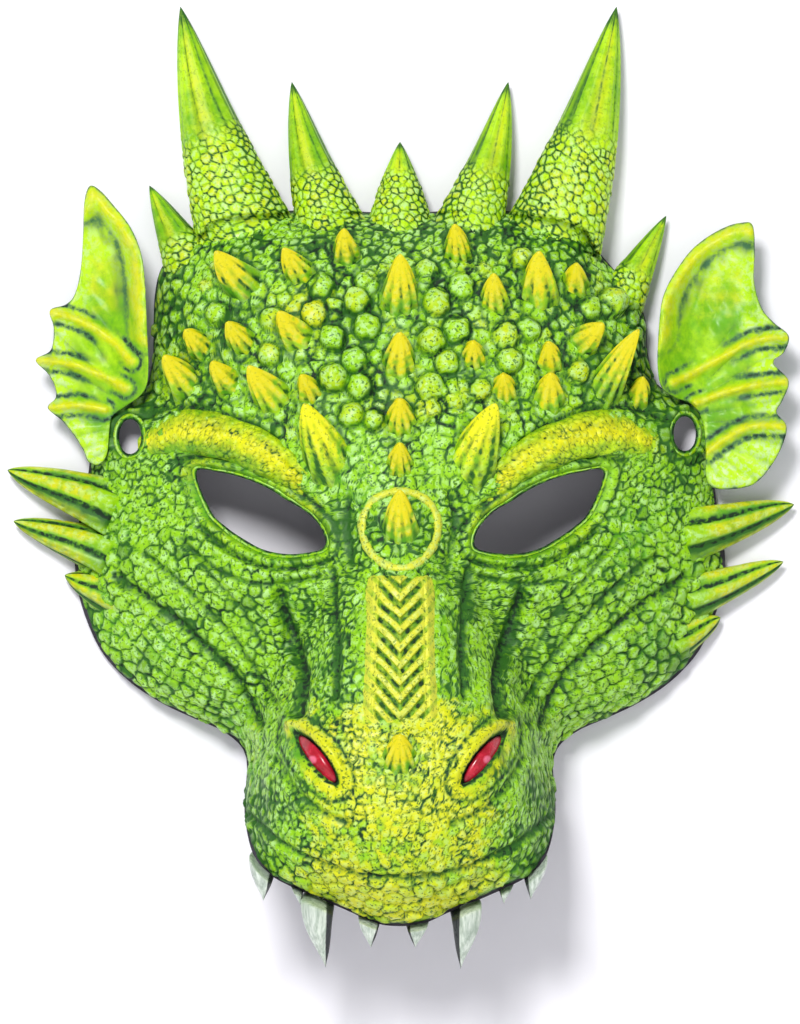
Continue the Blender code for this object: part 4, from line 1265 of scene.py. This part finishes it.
def makeBrow(label):
    side = 1 if label == "Left" else -1
    line = smoothCurve(browLine, 8, closed=False)
    steps = np.linspace(0.0, 1.0, len(line))

    def shape(u, v):
        x0, z0, high, proud = (np.interp(v, steps, line[:, k]) for k in range(4))
        ahead, behind = np.minimum(v + 0.02, 1.0), np.maximum(v - 0.02, 0.0)
        ax = np.interp(ahead, steps, line[:, 0]) - np.interp(behind, steps, line[:, 0])
        az = np.interp(ahead, steps, line[:, 1]) - np.interp(behind, steps, line[:, 1])
        size = np.hypot(ax, az)
        nx, nz = -az / size, ax / size
        a = 2.0 * math.pi * u
        close = blend(0.0, 0.03, v) * blend(0.0, 0.03, 1.0 - v)
        high, proud = high * close, proud * close
        px, pz = x0 + nx * high * np.cos(a), z0 + nz * high * np.cos(a)
        depth = skinDepth(px, pz) + proud * np.where(np.sin(a) > 0, np.sin(a), 0.4 * np.sin(a))
        points = np.stack([side * px, depth, pz], 1)
        upper = np.sin(a) > -0.1
        pitch = np.where(upper, browSettings["pitch"] * (1.0 + 0.3 * ripple(points, 8.0, 51)), 0.0)
        centres, sizes = spreadCentres(points, pitch, 52, tries=6000)
        border, owner = scaleCover(points, centres, sizes)[:2]
        dome = blend(0.0, 0.9, border)
        tint = np.random.RandomState(53).uniform(0.0, 1.0, len(centres))[owner]
        # a long fold runs along the ridge, under its crest
        fold = bell(np.cos(a) * nz * np.sign(nz) + 0.35, 0.16) * blend(0.1, 0.3, v) * upper
        points[:, 1] += ((0.50 * dome * (0.4 + tint) - 0.2) - 1.0 * fold + 0.75 * ripple(points, 12.0, 55)
                         + 0.35 * ripple(points, 5.0, 56)) * close
        # lighter and yellower on the top, darker on the lower side, in the fold and where it meets the skin: painted
        # light and shade with the yellow paint
        crown = bell(np.cos(a), 0.75) * (np.sin(a) > 0)
        lower = blend(0.2, -0.8, np.cos(a) * np.where(nz > 0, 1.0, -1.0))
        fields = {"crevice": 0.6 * (1.0 - blend(0.0, 0.5, border)) * (0.25 + 0.75 * (tint > 0.5))
                             + 0.45 * fold * (0.4 + 0.6 * tint) + 0.25 * (np.sin(a) < -0.1) * close,
                  "crest": 0.7 * dome * crown,
                  "warm": 0.16 + 0.56 * crown * (0.55 + 0.5 * tint) * (1.0 - 0.55 * lower),
                  "dusk": 0.35 * bell(v - 1.0, 0.12) + 0.35 * bell(v, 0.08) + 0.30 * lower * (tint > 0.6)}
        return points, fields

    piece = wrapGrid("browRidge" + label, browSettings["around"], browSettings["along"], shape)
    finishPiece(piece, browPaint, "painted_foam_yellow", "brow_ridge_" + label.lower())


# ring round the bridge spike, and the plate of chevrons down the nose

ringSettings = {"spot": (0.0, -4.5), "radius": 12.6, "thick": 1.4, "around": 20, "along": 160}
plateSettings = {"top": -18.6, "foot": -70.5, "halfTop": 11.3, "halfFoot": 13.6, "proud": 3.2, "chevrons": 9.5,
                 "slope": 1.05, "rail": 0.66, "cut": 1.5, "frontPart": 0.8, "around": 130, "along": 260}


def bridgeRing():
    def shape(u, v):
        a, b = 2.0 * math.pi * v, 2.0 * math.pi * u
        thick = ringSettings["thick"] * (1.0 + 0.10 * np.sin(9 * a) + 0.06 * np.sin(23 * a))
        reach = ringSettings["radius"] + 0.25 * np.sin(3 * a) + thick * np.cos(b)
        x, z = ringSettings["spot"][0] + reach * np.cos(a), ringSettings["spot"][1] + reach * np.sin(a)
        depth = skinDepth(x, z) + 0.35 + 1.25 * thick * np.sin(b)
        # lighter on the front, dark on the half that turns in towards the skin: painted light and shade
        fields = {"crest": 0.5 + 0.5 * np.sin(b), "warm": 0.42 + 0.2 * np.sin(b),
                  "crevice": 0.8 * (np.sin(b) < 0.1) + 0.25 * (np.sin(17 * a) > 0.6)}
        return np.stack([x, depth, z], 1), fields

    piece = wrapGrid("bridgeRing", ringSettings["around"], ringSettings["along"], shape)
    finishPiece(piece, platePaint, "painted_foam_yellow", "bridge_ring")


def nosePlate():
    s = plateSettings

    def shape(u, v):
        top, part = u <= s["frontPart"], s["frontPart"]
        across = np.where(top, u / part * 2.0 - 1.0, 1.0 - (u - part) / (1.0 - part) * 2.0)
        z = s["top"] + (s["foot"] - s["top"]) * v
        half = s["halfTop"] + (s["halfFoot"] - s["halfTop"]) * v
        x = half * across
        depth = skinDepth(x, z)
        edge = blend(1.0, 0.74, np.abs(across))
        ends = blend(0.0, 0.06, v) * blend(0.0, 0.14, 1.0 - v)
        sway = 0.35 * ripple(np.stack([x, z], 1), 14.0, 64)
        run = (z - s["slope"] * np.abs(x) + sway) * s["chevrons"] / (s["top"] - s["foot"])
        saw = 0.5 + 0.5 * np.cos(2.0 * math.pi * run)
        field = blend(s["rail"], s["rail"] - 0.10, np.abs(across)) * blend(0.0, 0.06, v)
        strip = blend(0.30, 0.62, saw)
        middle = bell(x, 0.7) * field
        lift = s["proud"] * (1.0 - 0.25 * np.abs(across)) * edge
        lift -= s["cut"] * (1.0 - strip) * field
        lift += 0.3 * middle - 0.5 * bell(np.abs(across) - s["rail"] - 0.02, 0.035)
        points = np.stack([x, z], 1)
        lift += (0.20 * ripple(points, 7.0, 61) + 0.10 * ripple(points, 2.5, 62)) * edge
        lift = np.where(top, (lift + 0.6) * ends * edge ** 0.3 - 0.6, -1.2)
        grain = 0.5 + 0.5 * ripple(points, 3.2, 63)
        # dark in the grooves between the chevrons, along the rails, at the edges and at the top end, lighter on the
        # raised strips: washed-in paint with painted shade and highlight
        fields = {
            "crevice": np.where(top, (0.55 + 0.35 * grain) * (1.0 - blend(0.10, 0.42, saw)) * field
                                * (1.0 - 0.6 * middle)
                                + 0.25 * grain * bell(np.abs(across) - s["rail"] - 0.02, 0.03)
                                + 0.5 * bell(np.abs(across) - 1.0, 0.05) + 0.3 * (grain > 0.85), 0.9),
            "crest": 0.75 * strip * field + 0.35 * (1.0 - field) * grain,
            "warm": 0.22 + 0.38 * strip + 0.16 * grain + 0.12 * (1.0 - field),
            "dusk": 0.25 * bell(v, 0.05) + 0.15 * grain * (1.0 - strip)}
        return np.stack([x, depth + lift, z], 1), fields

    piece = wrapGrid("nosePlate", s["around"], s["along"], shape)
    finishPiece(piece, platePaint, "painted_foam_yellow", "nose_ridge")


# crimson linings in the nostrils

def crimsonPaint():
    material, tree, shader = newMaterial("crimsonGloss")
    mottle = noiseAt(tree, onPiece(tree), 260.0, 2.0)
    colour = mixed(tree, eased(tree, mottle, 0.3, 0.7), (0.34, 0.004, 0.014, 1.0), (0.58, 0.010, 0.036, 1.0))
    # painted highlight where crest is high, painted shade where crevice is high
    colour = mixed(tree, eased(tree, fieldAt(tree, "crest"), 0.45, 1.0), colour, (0.85, 0.16, 0.26, 1.0))
    colour = mixed(tree, eased(tree, fieldAt(tree, "crevice"), 0.2, 0.9), colour, (0.030, 0.004, 0.010, 1.0))
    wireShader(tree, shader, colour, scaledSum(tree, [(mottle, 0.3)], 0.10))
    return material


liningSettings = {"inset": -0.35, "around": 60, "along": 24, "frontPart": 0.7, "deep": -2.4, "bulge": 1.5, "back": -2.9}


def nostrils():
    paint = crimsonPaint()
    for side, label in ((1, "Left"), (-1, "Right")):
        loop = almondLoop(side, liningSettings["inset"], 24)
        middle = loop.mean(axis=0)

        def shape(u, v):
            front, part = v <= liningSettings["frontPart"], liningSettings["frontPart"]
            share = np.where(front, v / part, (1.0 - v) / (1.0 - part))
            edgeX, edgeZ = (np.interp(u * len(loop), np.arange(len(loop) + 1), np.append(loop[:, k], loop[0, k]))
                            for k in (0, 1))
            x, z = middle[0] + (edgeX - middle[0]) * share, middle[1] + (edgeZ - middle[1]) * share
            bulge = liningSettings["deep"] + liningSettings["bulge"] * (1.0 - share ** 2.5)
            depth = skinDepth(x, z) + np.where(front, bulge, liningSettings["back"])
            above = (z - middle[1]) * 0.9 + (x - middle[0]) * side * -0.6
            points = np.stack([x, depth, z], 1)
            # dark round the edge and in the upper part, under the overhang: painted shade; a bright spot to one side:
            # painted highlight
            fields = {"crevice": 0.9 * bell(share - 1.0, 0.16) + 0.5 * blend(2.0, 6.5, above),
                      "crest": 1.2 * bell(np.hypot(x - middle[0] - side * 1.4, z - middle[1] + 0.2), 1.7)}
            return points, fields

        piece = wrapGrid("nostril" + label, liningSettings["around"], liningSettings["along"], shape)
        finishPiece(piece, paint, "painted_foam_crimson", "nostril_" + label.lower())
    print("nostrils made")


# rims of the eye and strap holes, and the dark foam behind the skin

rimSettings = {"eye": 0.85, "strap": 1.0, "around": 14, "along": 220, "proud": 0.2}
backSettings = {"rings": 90, "tail": 6, "cut": 1.3}


def holeRim(name, loop, radius):
    closed = np.vstack([loop, loop[:1]])
    walked = walkAlong(closed)
    middle = loop.mean(axis=0)

    def shape(u, v):
        at = v * walked[-1]
        x0, z0 = np.interp(at, walked, closed[:, 0]), np.interp(at, walked, closed[:, 1])
        a = 2.0 * math.pi * u
        nx, nz = x0 - middle[0], z0 - middle[1]
        size = np.hypot(nx, nz)
        x = x0 + nx / size * radius * np.cos(a)
        z = z0 + nz / size * radius * np.cos(a)
        depth = skinDepth(x0, z0) + rimSettings["proud"] + radius * np.sin(a)
        # dark on the side that turns into the hole and underneath, lighter on the outer side: painted shade and light
        inner = blend(0.3, -0.5, np.cos(a))
        fields = {"crevice": np.maximum(0.95 * inner, 0.8 * (np.sin(a) < -0.1)), "crest": 0.8 * (1.0 - inner),
                  "warm": 0.25 * (1.0 - inner)}
        return np.stack([x, depth, z], 1), fields

    piece = wrapGrid(name, rimSettings["around"], rimSettings["along"], shape)
    finishPiece(piece, skinPaint, "painted_foam_lime", "face_shell")


def rawFoam():
    material, tree, shader = newMaterial("darkFoam")
    coords = onPiece(tree)
    mottle = noiseAt(tree, coords, 60.0, 3.0, 0.6)
    cells = addNode(tree, "ShaderNodeTexVoronoi", [("Vector", coords), ("Scale", 1100.0)]).outputs["Distance"]
    colour = mixed(tree, eased(tree, mottle, 0.3, 0.7), (0.022, 0.018, 0.028, 1.0), (0.055, 0.048, 0.066, 1.0))
    wireShader(tree, shader, colour, scaledSum(tree, [(mottle, 0.2)], 0.7))
    addBump(tree, shader, cells, 0.4 * mm, 0.6)
    return material


def foamBack():
    # the last rings, the tail, turn round the foam's edge to meet the painted skin
    rings, tail, wall = backSettings["rings"], backSettings["tail"], faceForm["foam"]
    piece = newGrid("foamBack", 2 * rings, 2 * rings)
    ring, angle = concentric(*gridCoords(piece))
    number = np.rint(ring * rings).astype(int)
    shares = np.concatenate((evenShares(rings - tail), np.ones(tail)))
    share = shares[number]
    cx, cz = faceForm["centre"]
    edge = edgeRadius(angle)
    jaw = blend(0.0, -30.0, cz + edge * np.sin(angle))
    inset = np.array([wall] * (rings - tail + 1) + [3.0, 0.5, 0.0, 0.0, 1.2, 3.0])[number]
    proud = np.array([0.0] * (rings - tail + 3) + [1.0, 1.0, 0.0, 0.0])[number] * (0.35 + 0.55 * jaw)
    ahead = np.array([0.0] * (rings - tail + 3) + [0.5, 2.0, 2.8, 2.8])[number]
    radius = (edge - inset) * share + proud
    x, z = cx + radius * np.cos(angle), cz + radius * np.sin(angle)
    setPoints(piece, np.stack([x, shellDepth(x, z, share, wall) + ahead, z], 1))

    def innerDepth(px, pz):
        away, outer = fromCentre(px, pz)
        return shellDepth(px, pz, away / (outer - wall), wall)

    cutHoles(piece, holeLoops, backSettings["cut"], innerDepth)
    # walls of the holes, from the inner skin out to the painted one
    points = getPoints(piece)
    x, z = points[:, 0], points[:, 2]
    edgeOfHole = np.zeros(len(points), bool)
    for loop in holeLoops:
        edgeOfHole |= nearLine(x, z, loop, closed=True)[0] < 0.02
    selectOnly(piece)
    bpy.ops.object.mode_set(mode="EDIT")
    bpy.ops.mesh.select_mode(type="EDGE")
    bpy.ops.mesh.select_all(action="DESELECT")
    bpy.ops.mesh.select_non_manifold(extend=False, use_wire=False, use_boundary=True, use_multi_face=False,
                                     use_non_contiguous=False, use_verts=False)
    bpy.ops.object.mode_set(mode="OBJECT")
    chosen = np.zeros(len(piece.data.edges), bool)
    piece.data.edges.foreach_get("select", chosen)
    ends = np.empty(len(piece.data.edges) * 2, np.int32)
    piece.data.edges.foreach_get("vertices", ends)
    ends = ends.reshape(-1, 2)
    chosen &= edgeOfHole[ends[:, 0]] & edgeOfHole[ends[:, 1]]
    unmark(piece.data.vertices, piece.data.polygons)
    piece.data.edges.foreach_set("select", chosen)
    bpy.ops.object.mode_set(mode="EDIT")
    before = len(piece.data.vertices)
    bpy.ops.mesh.extrude_region_move(TRANSFORM_OT_translate={"value": (0.0, -0.001, 0.0)})
    bpy.ops.object.mode_set(mode="OBJECT")
    points = getPoints(piece)
    moved = np.arange(len(points)) >= before
    points[moved, 1] = skinDepth(points[moved, 0], points[moved, 2]) + 0.1
    setPoints(piece, points)
    tidyMesh(piece)
    normals, points = getNormals(piece), getPoints(piece)
    middle = np.argmin(np.hypot(points[:, 0], points[:, 2] - 60.0))
    if normals[middle, 1] > 0:
        bpy.ops.object.mode_set(mode="EDIT")
        bpy.ops.mesh.select_all(action="SELECT")
        bpy.ops.mesh.flip_normals()
        bpy.ops.object.mode_set(mode="OBJECT")
    bpy.ops.object.shade_smooth_by_angle(angle=math.radians(40.0))
    finishPiece(piece, rawFoam(), "painted_foam_lime", "face_shell")
    print("foam back made")


allThorns()
allHorns()
cheekSpikes()
allTeeth()
for earLabel in ("Left", "Right"):
    makeEar(earLabel)
    makeBrow(earLabel)
print("ears and brows made")
bridgeRing()
nosePlate()
nostrils()
for side, loop in eyeLoops.items():
    holeRim("eyeRim" + ("Left" if side > 0 else "Right"), loop, rimSettings["eye"])
for label, loop in zip(("Left", "Right"), strapLoops):
    holeRim("strapHoleRim" + label, loop, rimSettings["strap"])
foamBack()


# camera, lamps and backdrop

studio = {
    "camera": {"away": 6.0, "up": 0.001, "seen": 0.338, "focus": 0.045, "film": 36.0},
    "sky": 0.36, "skyColour": (0.97, 0.98, 1.0, 1.0), "white": (1.0, 1.0, 1.0, 1.0),
    "sheet": {"size": 0.9, "behind": 0.0012, "colour": (0.97, 0.955, 1.0, 1.0)},
    "floor": {"size": 8.0, "down": -0.30, "colour": (0.9, 0.9, 0.92, 1.0), "seen": (0.90, 0.90, 0.93, 1.0)},
    "lamps": {"keyLamp": ((-0.40, -2.0, 0.90), 0.50, 37.0), "fillLamp": ((1.2, -1.9, 0.1), 1.2, 3.0)},
}


def toCamera(tree, plain, seen, output):
    # what the camera sees directly is a plain tone; light meets the real surface
    ray = addNode(tree, "ShaderNodeLightPath").outputs["Is Camera Ray"]
    both = addNode(tree, "ShaderNodeMixShader", [(0, ray), (1, plain.outputs[0]), (2, seen.outputs[0])])
    tree.links.new(both.outputs[0], tree.nodes[output].inputs["Surface"])


def cameraAndLight():
    view = studio["camera"]
    data = bpy.data.cameras.new("frontCamera")
    camera = bpy.data.objects.new("frontCamera", data)
    scene.collection.objects.link(camera)
    camera.location = (0.0, -view["away"], view["up"])
    camera.rotation_euler = (math.radians(90.0), 0.0, 0.0)
    data.lens = view["film"] * (view["away"] - view["focus"]) / view["seen"]
    scene.camera = camera
    scene.view_settings.view_transform = "Standard"

    world = bpy.data.worlds.new("studio")
    scene.world = world
    world.use_nodes = True
    sky = world.node_tree
    light = sky.nodes["Background"]
    light.inputs[0].default_value = studio["skyColour"]
    light.inputs[1].default_value = studio["sky"]
    seen = addNode(sky, "ShaderNodeBackground", [(0, studio["white"]), (1, 1.0)])
    toCamera(sky, light, seen, "World Output")
    for name, (spot, size, power) in studio["lamps"].items():
        lamp = bpy.data.lights.new(name, "AREA")
        lamp.size, lamp.energy = size, power
        holder = bpy.data.objects.new(name, lamp)
        holder.location = spot
        holder.visible_camera = False
        holder.rotation_euler = (-Vector(spot)).to_track_quat("-Z", "Y").to_euler()
        scene.collection.objects.link(holder)


def backdrop():
    # pale sheet just behind the mask, clear from behind, and a pale floor well below
    facts = studio["sheet"]
    clearSelection()
    bpy.ops.mesh.primitive_plane_add(size=facts["size"], location=(0.0, facts["behind"], 0.0),
                                     rotation=(math.radians(90.0), 0.0, 0.0))
    sheet = bpy.context.active_object
    sheet.name = "backSheet"
    material, tree, shader = newMaterial("paleSheet")
    shader.inputs["Base Color"].default_value = facts["colour"]
    shader.inputs["Roughness"].default_value = 0.9
    clear = addNode(tree, "ShaderNodeBsdfTransparent")
    faces = addNode(tree, "ShaderNodeNewGeometry").outputs["Backfacing"]
    shown = addNode(tree, "ShaderNodeMixShader", [(0, faces), (1, shader.outputs[0]), (2, clear.outputs[0])])
    tree.links.new(shown.outputs[0], tree.nodes["Material Output"].inputs["Surface"])
    sheet.data.materials.append(material)
    facts = studio["floor"]
    clearSelection()
    bpy.ops.mesh.primitive_plane_add(size=facts["size"], location=(0.0, 0.0, facts["down"]))
    floor = bpy.context.active_object
    floor.name = "studioFloor"
    material, tree, shader = newMaterial("paleFloor")
    shader.inputs["Base Color"].default_value = facts["colour"]
    toCamera(tree, shader, addNode(tree, "ShaderNodeEmission", [(0, facts["seen"])]), "Material Output")
    floor.data.materials.append(material)


cameraAndLight()
backdrop()
